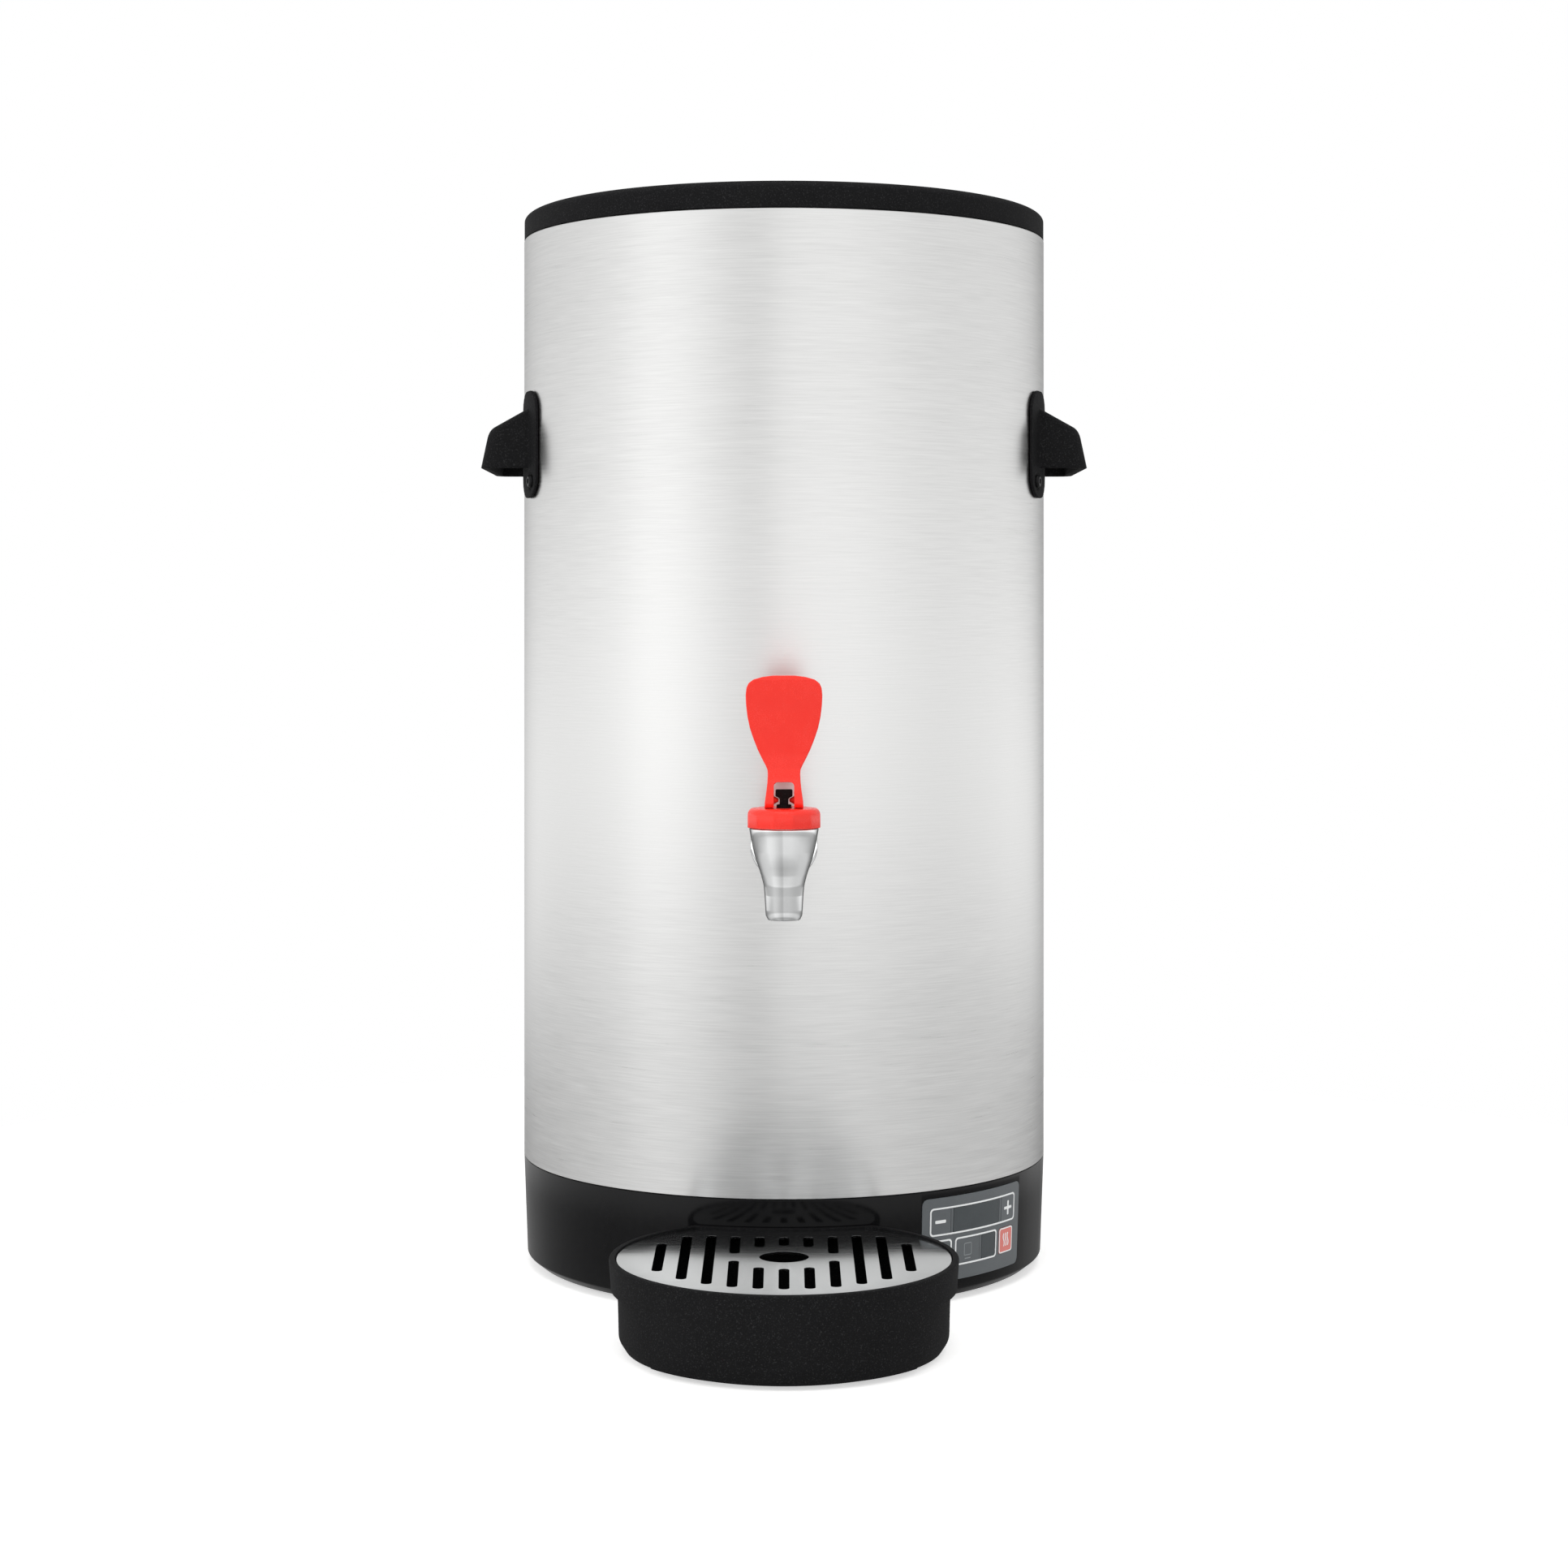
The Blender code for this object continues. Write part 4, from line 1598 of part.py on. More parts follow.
def make_level_sensors():
    """The holder on the tank's back wall and the two electrodes that hang from it."""
    top = SHELL_TOP - HOLDER_TOP_DROP
    bottom = top - HOLDER_SIZE[2]
    half = HOLDER_SIZE[0] / 2
    flat = TANK_INNER_RADIUS * math.cos(math.pi / TANK_STEPS)
    back = math.sqrt(flat ** 2 - half ** 2) - SEAT_GAP
    front = back - HOLDER_SIZE[1]
    holder = piece("probe_holder", box((-half, front, bottom), (half, back, top)), white_plastic)
    y = (front + back) / 2
    holes = []
    for name, way, length in ELECTRODE_LENGTHS:
        x = way * ELECTRODE_HALF_SPACING
        holes.append(rod((x, y, bottom - CUT_OVERRUN), (x, y, top + CUT_OVERRUN), ELECTRODE_RADIUS + SEAT_GAP,
                         TINY_STEPS))
        seat = top + SEAT_GAP
        profile = [
            (0, seat - length),
            (ELECTRODE_RADIUS, seat - length),
            (ELECTRODE_RADIUS, seat),
            (ELECTRODE_HEAD_RADIUS, seat),
            (ELECTRODE_HEAD_RADIUS, seat + ELECTRODE_HEAD_HEIGHT),
            (0, seat + ELECTRODE_HEAD_HEIGHT),
        ]
        piece(name, turned(profile, TINY_STEPS, (x, y)), plain_steel)
    cut(holder, joined(holes))


make_base_housing()
make_base_plate()
make_feet()
make_base_screws()
make_outer_shell()
make_inner_tank()
make_tank_support()
make_insulation_jacket()
make_lid()
make_handle("handle_left", -1)
make_handle("handle_right", 1)
make_tap_body()
make_tap_fixings()
make_tap_bonnet()
make_tap_stem()
make_tap_spring()
make_tap_lever()
make_drip_tray()
make_drip_grille()
make_panel()
make_panel_electronics()
make_power_board()
make_inlet()
make_cable_gland()
make_overflow_pipe()
make_heating()
make_floor_sensors()
make_level_sensors()

for made in list(bpy.data.objects):
    if made.modifiers and not made.hide_render:
        weld(made)
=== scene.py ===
# A hot water dispenser: its looks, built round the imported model.
from math import atan2, ceil, cos, degrees, pi, radians, sin, sqrt, tan, tau

import bpy
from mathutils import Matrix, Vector


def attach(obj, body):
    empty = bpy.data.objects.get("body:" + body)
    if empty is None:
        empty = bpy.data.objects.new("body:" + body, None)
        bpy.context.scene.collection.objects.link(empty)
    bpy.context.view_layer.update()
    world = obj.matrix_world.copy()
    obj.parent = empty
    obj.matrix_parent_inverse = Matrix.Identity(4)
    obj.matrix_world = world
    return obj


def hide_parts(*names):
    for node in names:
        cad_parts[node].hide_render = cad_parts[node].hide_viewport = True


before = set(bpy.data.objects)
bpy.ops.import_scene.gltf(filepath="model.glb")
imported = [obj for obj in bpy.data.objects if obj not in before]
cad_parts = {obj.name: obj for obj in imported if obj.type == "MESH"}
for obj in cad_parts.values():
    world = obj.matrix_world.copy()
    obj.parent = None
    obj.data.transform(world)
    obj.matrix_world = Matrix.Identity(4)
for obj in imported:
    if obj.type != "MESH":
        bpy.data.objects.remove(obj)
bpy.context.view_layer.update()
scene = bpy.context.scene

bodyRadius = 0.15
axisY = 0.0682       # the body stands on this line
tapY = -0.1478       # and the tap, the tray and the grille on this one
baseTop = 0.0614
inletX, glandX, overflowX = 0.03, -0.03, -0.07
fittingsZ = 0.038    # height of these three fittings behind
panelMiddle = 44.95  # degrees round the body from the front, to the right
columnAngle = 2.25   # one facet of the body; panel pieces are creased at the same places
weldGap = 0.000002   # points nearer than this become one


# Materials

def toLinear(code):
    channels = [int(code[place:place + 2], 16) / 255 for place in (1, 3, 5)]
    return tuple(c / 12.92 if c <= 0.04045 else ((c + 0.055) / 1.055) ** 2.4 for c in channels) + (1.0,)


def addNode(tree, kind, settings=None):
    # a setting is a value, or another node's output, which is wired in
    node = tree.nodes.new("ShaderNode" + kind)
    for key, value in (settings or {}).items():
        if isinstance(value, bpy.types.NodeSocket):
            tree.links.new(value, node.inputs[key])
        elif isinstance(key, int) or key in node.inputs:
            node.inputs[key].default_value = value
        else:
            setattr(node, key, value)
    return node


def noise(tree, place, detail, scale=1.0, roughness=0.5):
    return addNode(tree, "TexNoise", {"Scale": scale, "Detail": detail, "Roughness": roughness,
                                      "Vector": place}).outputs["Fac"]


def stretched(tree, place, sizes):
    return addNode(tree, "Mapping", {"Scale": tuple(1 / size for size in sizes), "Vector": place}).outputs[0]


def ranged(tree, source, low, high, least=0.0, most=1.0):
    return addNode(tree, "MapRange", {"From Min": low, "From Max": high, "To Min": least, "To Max": most,
                                      "Value": source}).outputs[0]


def averaged(tree, share, first, second):
    return addNode(tree, "Mix", {"data_type": "FLOAT", 0: share, 2: first, 3: second}).outputs[0]


def blended(tree, share, *colours):
    # the two colours are codes, or come from other nodes
    first, second = [toLinear(colour) if isinstance(colour, str) else colour for colour in colours]
    return addNode(tree, "Mix", {"data_type": "RGBA", 0: share, 6: first, 7: second}).outputs[2]


def worked(tree, operation, first, second=0.0):
    return addNode(tree, "Math", {"operation": operation, 0: first, 1: second}).outputs[0]


def wire(tree, shader, **sources):
    for socket, source in sources.items():
        tree.links.new(source, shader.inputs[socket.replace("_", " ")])


def newMaterial(name, **sockets):
    material = bpy.data.materials.new(name)
    material.use_nodes = True
    tree = material.node_tree
    shader = tree.nodes["Principled BSDF"]
    for key, value in sockets.items():
        shader.inputs[key.replace("_", " ")].default_value = value
    return material, tree, shader


def patterned(name, colours, grain, roughness, bump, spread=None, detail=3.0, paintedGlint=None, **sockets):
    # colours: dark and light of the mottle; grain: its size in metres, one or on X, Y and Z;
    # roughness: least and most; bump: height in metres; spread: size of a slow second mottle;
    # paintedGlint: colour of painted glints, sparse lighter dots in the colour that stand for grains catching
    # the light
    grain = (grain,) * 3 if isinstance(grain, float) else grain
    spread = (spread,) * 3 if isinstance(spread, float) else spread or [9 * size for size in grain]
    material, tree, shader = newMaterial(name, **sockets)
    place = addNode(tree, "TexCoord").outputs["Object"]
    fine = noise(tree, stretched(tree, place, grain), detail, roughness=0.55)
    slow = noise(tree, stretched(tree, place, spread), 2.0)
    both = averaged(tree, 0.4, fine, slow)
    tint = blended(tree, ranged(tree, both, 0.32, 0.68), *colours)
    if paintedGlint:
        # painted glints: sparse lighter dots mixed into the colour, for grains that catch the light
        glintDots = noise(tree, place, 1.0, scale=1400.0)
        tint = blended(tree, ranged(tree, glintDots, 0.58, 0.7), tint, paintedGlint)
    raised = addNode(tree, "Bump", {"Strength": 1.0, "Distance": bump, "Height": fine})
    wire(tree, shader, Base_Color=tint, Roughness=ranged(tree, both, 0.3, 0.7, *roughness),
         Normal=raised.outputs[0])
    return material


# Stainless steel 1.4301, brushed round the body with a 180 grit belt: long fine streaks, light stretched up.
# Real scratches are about 0.1 mm apart, which is too fine to show, so these are 0.7 mm.
def brushedRoundSteel():
    material, tree, shader = newMaterial("stainlessSteelBrushedRound", Metallic=1.0, Anisotropic=0.4,
                                         Anisotropic_Rotation=0.25)
    place = addNode(tree, "TexCoord").outputs["Object"]
    fine, longer, cloudy = [
        noise(tree, stretched(tree, place, (across, across, up)), detail, roughness=0.6)
        for across, up, detail in ((0.024, 0.0007, 2.0), (0.08, 0.0026, 2.0), (0.3, 0.022, 1.0))]
    streaks = averaged(tree, 0.25, fine, longer)
    brushing = averaged(tree, 0.12, streaks, cloudy)
    tint = blended(tree, ranged(tree, brushing, 0.3, 0.7), "#dddddc", "#ebebea")
    # the long weld behind, ground flat and a little greyer
    apart = addNode(tree, "SeparateXYZ", {"Vector": place})
    nearSeam = ranged(tree, worked(tree, "ABSOLUTE", apart.outputs["X"]), 0.0008, 0.0022, 1.0, 0.0)
    behind = worked(tree, "GREATER_THAN", apart.outputs["Y"], axisY)
    seamTint = blended(tree, worked(tree, "MULTIPLY", nearSeam, behind), tint, "#b9b8b4")
    raised = addNode(tree, "Bump", {"Strength": 0.6, "Distance": 0.000012, "Height": streaks})
    around = addNode(tree, "Tangent", {"direction_type": "RADIAL", "axis": "Z"})
    wire(tree, shader, Base_Color=seamTint, Roughness=ranged(tree, brushing, 0.3, 0.7, 0.27, 0.37),
         Normal=raised.outputs[0], Tangent=around.outputs[0])
    return material


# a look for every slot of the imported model, and four that a drawn piece can have instead
finishes = {
    "shellSteel": brushedRoundSteel(),
    # the same steel, brushed straight across: short fine streaks along X
    "brushed_steel": patterned(
        "stainlessSteelBrushedStraight", ("#c6c8c9", "#d2d4d5"), (0.02, 0.0007, 0.0007), (0.12, 0.18),
        0.000002, spread=(0.08, 0.004, 0.004), Metallic=1.0),
    # 2B cold rolled sheet, as bought: cloudy and dull
    "plain_steel": patterned(
        "stainlessSteelMillFinish", ("#b4b4b2", "#c4c4c2"), 0.0012, (0.28, 0.4), 0.00001,
        spread=(0.03, 0.03, 0.05), Metallic=1.0),
    # chromed brass, polished: clear reflections, a trace of haze from wiping
    "polished_metal": patterned(
        "brassChromed", ("#eeefef", "#f4f5f5"), 0.008, (0.06, 0.1), 0.0000008, spread=0.03, Metallic=1.0,
        Specular_Tint=(0.12, 0.12, 0.12, 1)),
    # turned brass, left bare: warm, with fine rings
    "brass": patterned(
        "brassTurned", ("#a8884a", "#c0a060"), (0.004, 0.0005, 0.004), (0.22, 0.34), 0.00001, Metallic=1.0),
    # black polypropylene from a spark eroded mould: matt, with a grain of 0.9 mm; its glitter is painted into
    # the colour as sparse lighter dots
    "matt_black": patterned(
        "polypropyleneSparkEroded", ("#121213", "#1b1b1c"), 0.0009, (0.62, 0.8), 0.0001, spread=0.02,
        detail=2.0, paintedGlint="#2b2b2c", IOR=1.49, Specular_IOR_Level=0.08),
    # black ABS from a polished mould: deep gloss, faint orange peel over 4 mm
    "gloss_black": patterned(
        "absPolishedMould", ("#0d0d0e", "#121213"), 0.004, (0.08, 0.13), 0.0000035, spread=0.05, IOR=1.53,
        Specular_IOR_Level=0.12),
    # red polypropylene, satin mould: strong colour that glows a little at thin edges
    "tap_red": patterned(
        "polypropyleneRed", ("#fb3024", "#ff3a2e"), 0.00045, (0.22, 0.3), 0.000008,
        spread=(0.008, 0.008, 0.012), IOR=1.49, Specular_IOR_Level=0.42, Subsurface_Weight=0.1,
        Subsurface_Scale=0.0015),
    # polyester overlay, screen printed grey behind a velvet face
    "foil_grey": patterned(
        "polyesterOverlay", ("#565b5e", "#5f6467"), 0.00035, (0.36, 0.46), 0.000006, spread=0.01, IOR=1.57,
        Specular_IOR_Level=0.45),
    "window_grey": patterned(
        "polyesterClearOverDisplay", ("#3c4245", "#43494c"), 0.0005, (0.16, 0.24), 0.000002, spread=0.012,
        IOR=1.57),
    "printWhite": patterned(
        "screenInkWhite", ("#f2f4f4", "#fdffff"), 0.0003, (0.42, 0.55), 0.000004, IOR=1.5),
    "printGrey": patterned(
        "screenInkGrey", ("#868b8d", "#919698"), 0.0003, (0.42, 0.55), 0.000004, IOR=1.5),
    "key_red": patterned("screenInkRed", ("#df7a72", "#e8837b"), 0.00035, (0.38, 0.48), 0.000006, IOR=1.57),
    # platinum cured silicone: pale, soft sheen, slightly dusty
    "seal_rubber": patterned(
        "siliconePale", ("#b6b3a8", "#c4c1b6"), 0.0006, (0.5, 0.62), 0.00002, IOR=1.41,
        Subsurface_Weight=0.15, Subsurface_Scale=0.002),
    # steel screws, blackened in hot oil: dark, with a dull shine
    "blackenedSteel": patterned(
        "steelBlackened", ("#1a1a1b", "#262627"), 0.0006, (0.32, 0.45), 0.00001, Metallic=0.6,
        Specular_IOR_Level=0.2),
    "foot_rubber": patterned(
        "rubberMoulded", ("#171717", "#202020"), 0.0007, (0.66, 0.8), 0.00003, IOR=1.52,
        Specular_IOR_Level=0.3),
    # aramid and glass fleece round the tank: loose fibres, no gloss
    "insulation_wool": patterned(
        "fibreFleece", ("#a39a72", "#c9c09a"), (0.006, 0.006, 0.0012), (0.9, 1.0), 0.0006, spread=0.03,
        detail=6.0, IOR=1.45, Specular_IOR_Level=0.2),
    "white_plastic": patterned(
        "polyamideWhite", ("#d2d0c8", "#dedcd4"), 0.0006, (0.4, 0.52), 0.00001, IOR=1.53),
    # glass epoxy board under green solder mask: the weave shows faintly
    "board_green": patterned(
        "glassEpoxyBoard", ("#0f4a28", "#176038"), 0.0008, (0.26, 0.4), 0.00001, IOR=1.55),
}
print("materials made")


# Ways of making: an outline is drawn point by point, then spun, pulled out, bent or cut

def clearSelection():
    if bpy.context.object and bpy.context.object.mode != "OBJECT":
        bpy.ops.object.mode_set(mode="OBJECT")
    bpy.ops.object.select_all(action="DESELECT")


def takeUp(piece):
    clearSelection()
    piece.select_set(True)
    bpy.context.view_layer.objects.active = piece


def settle(piece):
    # the piece's place, turn and size go into its mesh
    takeUp(piece)
    bpy.ops.object.transform_apply(location=True, rotation=True, scale=True)
    return piece


def softened(points, steps=5):
    # a corner written as (across, up, radius) is replaced by a short arc
    path = []
    for number, point in enumerate(points):
        corner = Vector(point[:2])
        if len(point) < 3:
            path.append(tuple(corner))
            continue
        toLast = (Vector(points[number - 1][:2]) - corner).normalized()
        toNext = (Vector(points[(number + 1) % len(points)][:2]) - corner).normalized()
        half = toLast.angle(toNext) / 2
        centre = corner + (toLast + toNext).normalized() * point[2] / sin(half)
        first = corner + toLast * point[2] / tan(half) - centre
        last = corner + toNext * point[2] / tan(half) - centre
        start = atan2(first.y, first.x)
        sweep = (atan2(last.y, last.x) - start + pi) % tau - pi
        for step in range(steps + 1):
            angle = start + sweep * step / steps
            path.append((centre.x + point[2] * cos(angle), centre.y + point[2] * sin(angle)))
    return path


def roundedBox(low, high, corner, steps=5):
    return softened([(low[0], low[1], corner), (high[0], low[1], corner), (high[0], high[1], corner),
                     (low[0], high[1], corner)], steps)


def drawn(name, points):
    # leaves the new outline in edit mode, all of it selected
    clearSelection()
    bpy.ops.mesh.primitive_circle_add(vertices=3, radius=0.001, location=(0, 0, 0))
    piece = bpy.context.object
    piece.name = piece.data.name = name
    bpy.ops.object.mode_set(mode="EDIT")
    bpy.ops.mesh.merge(type="CENTER")
    bpy.ops.transform.translate(value=points[0])
    last = Vector(points[0])
    for point in [*points[1:], points[0]]:
        bpy.ops.mesh.extrude_vertices_move(TRANSFORM_OT_translate={"value": Vector(point) - last})
        last = Vector(point)
    bpy.ops.mesh.select_all(action="SELECT")
    bpy.ops.mesh.remove_doubles(threshold=weldGap)
    return piece


def facedOut(piece, smooth=35):
    # joins doubled points, turns every face outwards and shades the gentle edges smooth
    takeUp(piece)
    bpy.ops.object.mode_set(mode="EDIT")
    bpy.ops.mesh.select_all(action="SELECT")
    bpy.ops.mesh.remove_doubles(threshold=weldGap)
    bpy.ops.mesh.normals_make_consistent(inside=False)
    bpy.ops.object.mode_set(mode="OBJECT")
    bpy.ops.object.shade_smooth_by_angle(angle=radians(smooth))
    return piece


def spun(name, path, steps, centre=(0, axisY), axis="Z", smooth=35):
    # path: (radius, along the axis); axis Y runs front to back through (x, z) = centre
    x, place = centre
    if axis == "Z":
        points, middle, line = [(x + r, place, z) for r, z in path], (x, place, 0), (0, 0, 1)
    else:
        points, middle, line = [(x + r, y, place) for r, y in path], (x, 0, place), (0, 1, 0)
    piece = drawn(name, points)
    bpy.ops.mesh.spin(steps=steps, angle=tau, center=middle, axis=line)
    bpy.ops.object.mode_set(mode="OBJECT")
    return facedOut(piece, smooth)


def rod(name, radius, low, high, steps, *where, smooth=35):
    return spun(name, [(0, low), (radius, low), (radius, high), (0, high)], steps, *where, smooth=smooth)


def slab(name, outline, low, high, axis="Z"):
    # an outline filled and pulled out along one axis, from low to high
    if axis == "Z":
        points, pull = [(a, b, low) for a, b in outline], (0, 0, high - low)
    elif axis == "Y":
        points, pull = [(a, low, b) for a, b in outline], (0, high - low, 0)
    else:
        points, pull = [(low, a, b) for a, b in outline], (high - low, 0, 0)
    piece = drawn(name, points)
    bpy.ops.mesh.edge_face_add()
    bpy.ops.mesh.extrude_region_move(TRANSFORM_OT_translate={"value": pull})
    bpy.ops.object.mode_set(mode="OBJECT")
    return facedOut(piece)


def modified(piece, kind, **settings):
    takeUp(piece)
    change = piece.modifiers.new(kind, kind)
    for key, value in settings.items():
        setattr(change, key, value)
    bpy.ops.object.modifier_apply(modifier=change.name)


def carve(piece, tools, operation="DIFFERENCE", smooth=35):
    # tools are used up one by one
    for tool in tools if isinstance(tools, list) else [tools]:
        modified(piece, "BOOLEAN", operation=operation, solver="EXACT", object=tool)
        bpy.data.objects.remove(tool)
    return facedOut(piece, smooth)


def joinedUp(pieces, name):
    takeUp(pieces[0])
    for piece in pieces[1:]:
        piece.select_set(True)
    if len(pieces) > 1:
        bpy.ops.object.join()
    pieces[0].name = pieces[0].data.name = name
    return pieces[0]


def bevelled(piece, width, segments, angle, smooth=35):
    modified(piece, "BEVEL", width=width, segments=segments, limit_method="ANGLE", angle_limit=radians(angle))
    bpy.ops.object.shade_smooth_by_angle(angle=radians(smooth))
    return piece


def bevelledEdges(piece, width, segments, isChosen):
    # isChosen is asked of the two ends of every edge
    takeUp(piece)
    bpy.ops.object.mode_set(mode="EDIT")
    bpy.ops.mesh.select_mode(type="EDGE")
    bpy.ops.mesh.select_all(action="DESELECT")
    bpy.ops.object.mode_set(mode="OBJECT")
    for edge in piece.data.edges:
        edge.select = isChosen(*(piece.data.vertices[number].co for number in edge.vertices))
    bpy.ops.object.mode_set(mode="EDIT")
    bpy.ops.mesh.bevel(offset=width, segments=segments)
    bpy.ops.mesh.select_mode(type="VERT")
    bpy.ops.object.mode_set(mode="OBJECT")
    return piece


def moulded(piece, grain, rounds, keep):
    # melts sharp edges into the small radii of a moulding
    modified(piece, "REMESH", mode="VOXEL", voxel_size=grain)
    modified(piece, "SMOOTH", factor=0.5, iterations=rounds)
    modified(piece, "DECIMATE", ratio=keep)
    bpy.ops.object.shade_smooth()
    return piece


def creased(piece, span, middle):
    # cuts a flat plate into the columns that it is bent along
    takeUp(piece)
    bpy.ops.object.mode_set(mode="EDIT")
    number = ceil(span[0] / columnAngle)
    while number * columnAngle < span[1]:
        across = radians(number * columnAngle - middle) * bodyRadius
        bpy.ops.mesh.select_all(action="SELECT")
        bpy.ops.mesh.bisect(plane_co=(across, 0, 0), plane_no=(1, 0, 0))
        number += 1
    bpy.ops.object.mode_set(mode="OBJECT")
    return piece


def bentRound(piece, middle, height, lean=0.0):
    # a flat plate, drawn facing the front, goes round the body at its place
    piece.rotation_euler = (lean, 0, 0)
    settle(piece)
    angle = piece.dimensions.x / bodyRadius
    modified(piece, "SIMPLE_DEFORM", deform_method="BEND", deform_axis="Z", angle=angle)
    piece.location = (0, -bodyRadius, 0)
    settle(piece)
    piece.rotation_euler = (0, 0, radians(middle))
    piece.location = (0, axisY, height)
    return facedOut(settle(piece))


def roundBody(radius, azimuth):
    turned = radians(azimuth)
    return radius * sin(turned), axisY - radius * cos(turned)


def finished(piece, slot, *stoodFor, body="machine", look=None):
    piece.data.materials.clear()
    piece.data.materials.append(finishes[look or slot])
    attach(piece, body)
    if stoodFor:
        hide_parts(*stoodFor)
    return piece


# The body: base, shell, tank and lid

base = {"bottom": 0.002, "footRadius": 0.1425, "chamferTop": 0.0063, "lowRadius": 0.148, "inside": 0.14447,
        "ledge": 0.0055, "ledgeInside": 0.12997, "spigot": 0.1489, "spigotInside": 0.1464,
        "spigotTop": 0.0734, "bossFrom": 0.138 + axisY, "bossTo": 0.15 + axisY, "holesTo": 0.16 + axisY}
baseLean = atan2(bodyRadius - base["lowRadius"], baseTop - base["chamferTop"])


def baseRadius(height):
    share = (baseTop - height) / (baseTop - base["chamferTop"])
    return bodyRadius - (bodyRadius - base["lowRadius"]) * share


def panelPlate(name, azimuths, heights, depths, corner, holes=()):
    # depths stand out of the base's wall; holes: (azimuths, heights, corner)
    def outline(span, rise, rounding):
        sides = [radians(azimuth - panelMiddle) * bodyRadius for azimuth in span]
        return roundedBox((sides[0], rise[0] - baseTop), (sides[1], rise[1] - baseTop), rounding)
    plate = slab(name, outline(azimuths, heights, corner), -depths[1], -depths[0], "Y")
    for hole in holes:
        carve(plate, slab("opening", outline(*hole), -depths[1] - 0.002, -depths[0] + 0.002, "Y"))
    creased(plate, azimuths, panelMiddle)
    return bentRound(plate, panelMiddle, baseTop, baseLean)


panel = {"span": (29.6, 60.3), "top": baseTop - 0.0041, "height": 0.0457, "corner": 0.0036, "row": 0.0138,
         "upperTop": baseTop - 0.0101, "lowerTop": baseTop - 0.0277, "back": -0.0006, "front": 0.0002,
         "recessBottom": 0.0113, "recessBack": -0.0009, "keyCorner": 0.0015, "keyFront": 0.0003}
keys = {"minus": ((31.7, 36.9), "upperTop"), "plus": ((52.8, 57.9), "upperTop"),
        "power": ((31.7, 37.0), "lowerTop"), "cup": ((38.4, 45.4), "lowerTop"),
        "boil": ((52.3, 57.5), "lowerTop")}
windows = {"display": ((37.7, 52.0), "upperTop"), "indicator": ((46.2, 50.8), "lowerTop")}


def widened(span, row, margin):
    spread = degrees(margin / bodyRadius)
    return (span[0] - spread, span[1] + spread), (panel[row] - panel["row"] - margin, panel[row] + margin)


housing = spun("baseHousing", softened([
    (base["footRadius"], base["bottom"], 0.001), (base["lowRadius"], base["chamferTop"], 0.0012),
    (bodyRadius, baseTop, 0.0005), (base["spigot"], baseTop), (base["spigot"], base["spigotTop"], 0.0005),
    (base["spigotInside"], base["spigotTop"], 0.0005), (base["spigotInside"], baseTop),
    (base["inside"], base["ledge"]), (base["ledgeInside"], base["ledge"]),
    (base["ledgeInside"], base["bottom"])]), 160)
for x, radius, hole in ((inletX, 0.0205, 0.0135), (glandX, 0.015, 0.0083)):
    boss = softened([(0, base["bossFrom"]), (radius, base["bossFrom"]), (radius, base["bossTo"], 0.0008),
                     (0, base["bossTo"])])
    carve(housing, spun("boss", boss, 64, (x, fittingsZ), "Y"), "UNION")
    carve(housing, rod("hole", hole, 0.13 + axisY, base["holesTo"], 48, (x, fittingsZ), "Y"))
carve(housing, rod("hole", 0.0063, 0.1 + axisY, base["holesTo"], 32, (overflowX, fittingsZ), "Y"))
carve(housing, panelPlate("recess", (panel["span"][0] - 0.115, panel["span"][1] + 0.115),
                          (panel["recessBottom"], panel["top"] + 0.0003), (panel["recessBack"], 0.003),
                          panel["corner"]))
for span, row in keys.values():
    carve(housing, panelPlate("pocket", *widened(span, row, 0.0014), (-0.0025, -0.0003), panel["keyCorner"]))
carve(housing, panelPlate("opening", *widened(*windows["display"], -0.0012), (-0.006, 0.003),
                          panel["keyCorner"]))
finished(housing, "gloss_black", "base_housing")
print("base made")

shell = {"bottom": 0.0617, "top": 0.5856, "underRim": 0.5848, "inside": 0.1492, "rimInside": 0.141}
jacket = spun("outerShell", softened([
    (bodyRadius, shell["bottom"], 0.0003), (bodyRadius, shell["top"], 0.0009),
    (shell["rimInside"], shell["top"]), (shell["rimInside"], shell["underRim"]),
    (shell["inside"], shell["underRim"]),
    (shell["inside"], shell["bottom"])], 4), 192)
finished(jacket, "brushed_steel", "outer_shell", look="shellSteel")

tank = {"under": 0.195, "floor": 0.1962, "outside": 0.125, "inside": 0.1238, "rim": 0.1465,
        "underRim": 0.5859, "top": 0.5871}
vessel = spun("innerTank", softened([
    (0, tank["under"]), (tank["outside"], tank["under"], 0.01), (tank["outside"], tank["underRim"], 0.0008),
    (tank["rim"], tank["underRim"]), (tank["rim"], tank["top"]), (tank["inside"], tank["top"], 0.002),
    (tank["inside"], tank["floor"], 0.0088), (0, tank["floor"])]), 144)
finished(vessel, "plain_steel", "inner_tank")

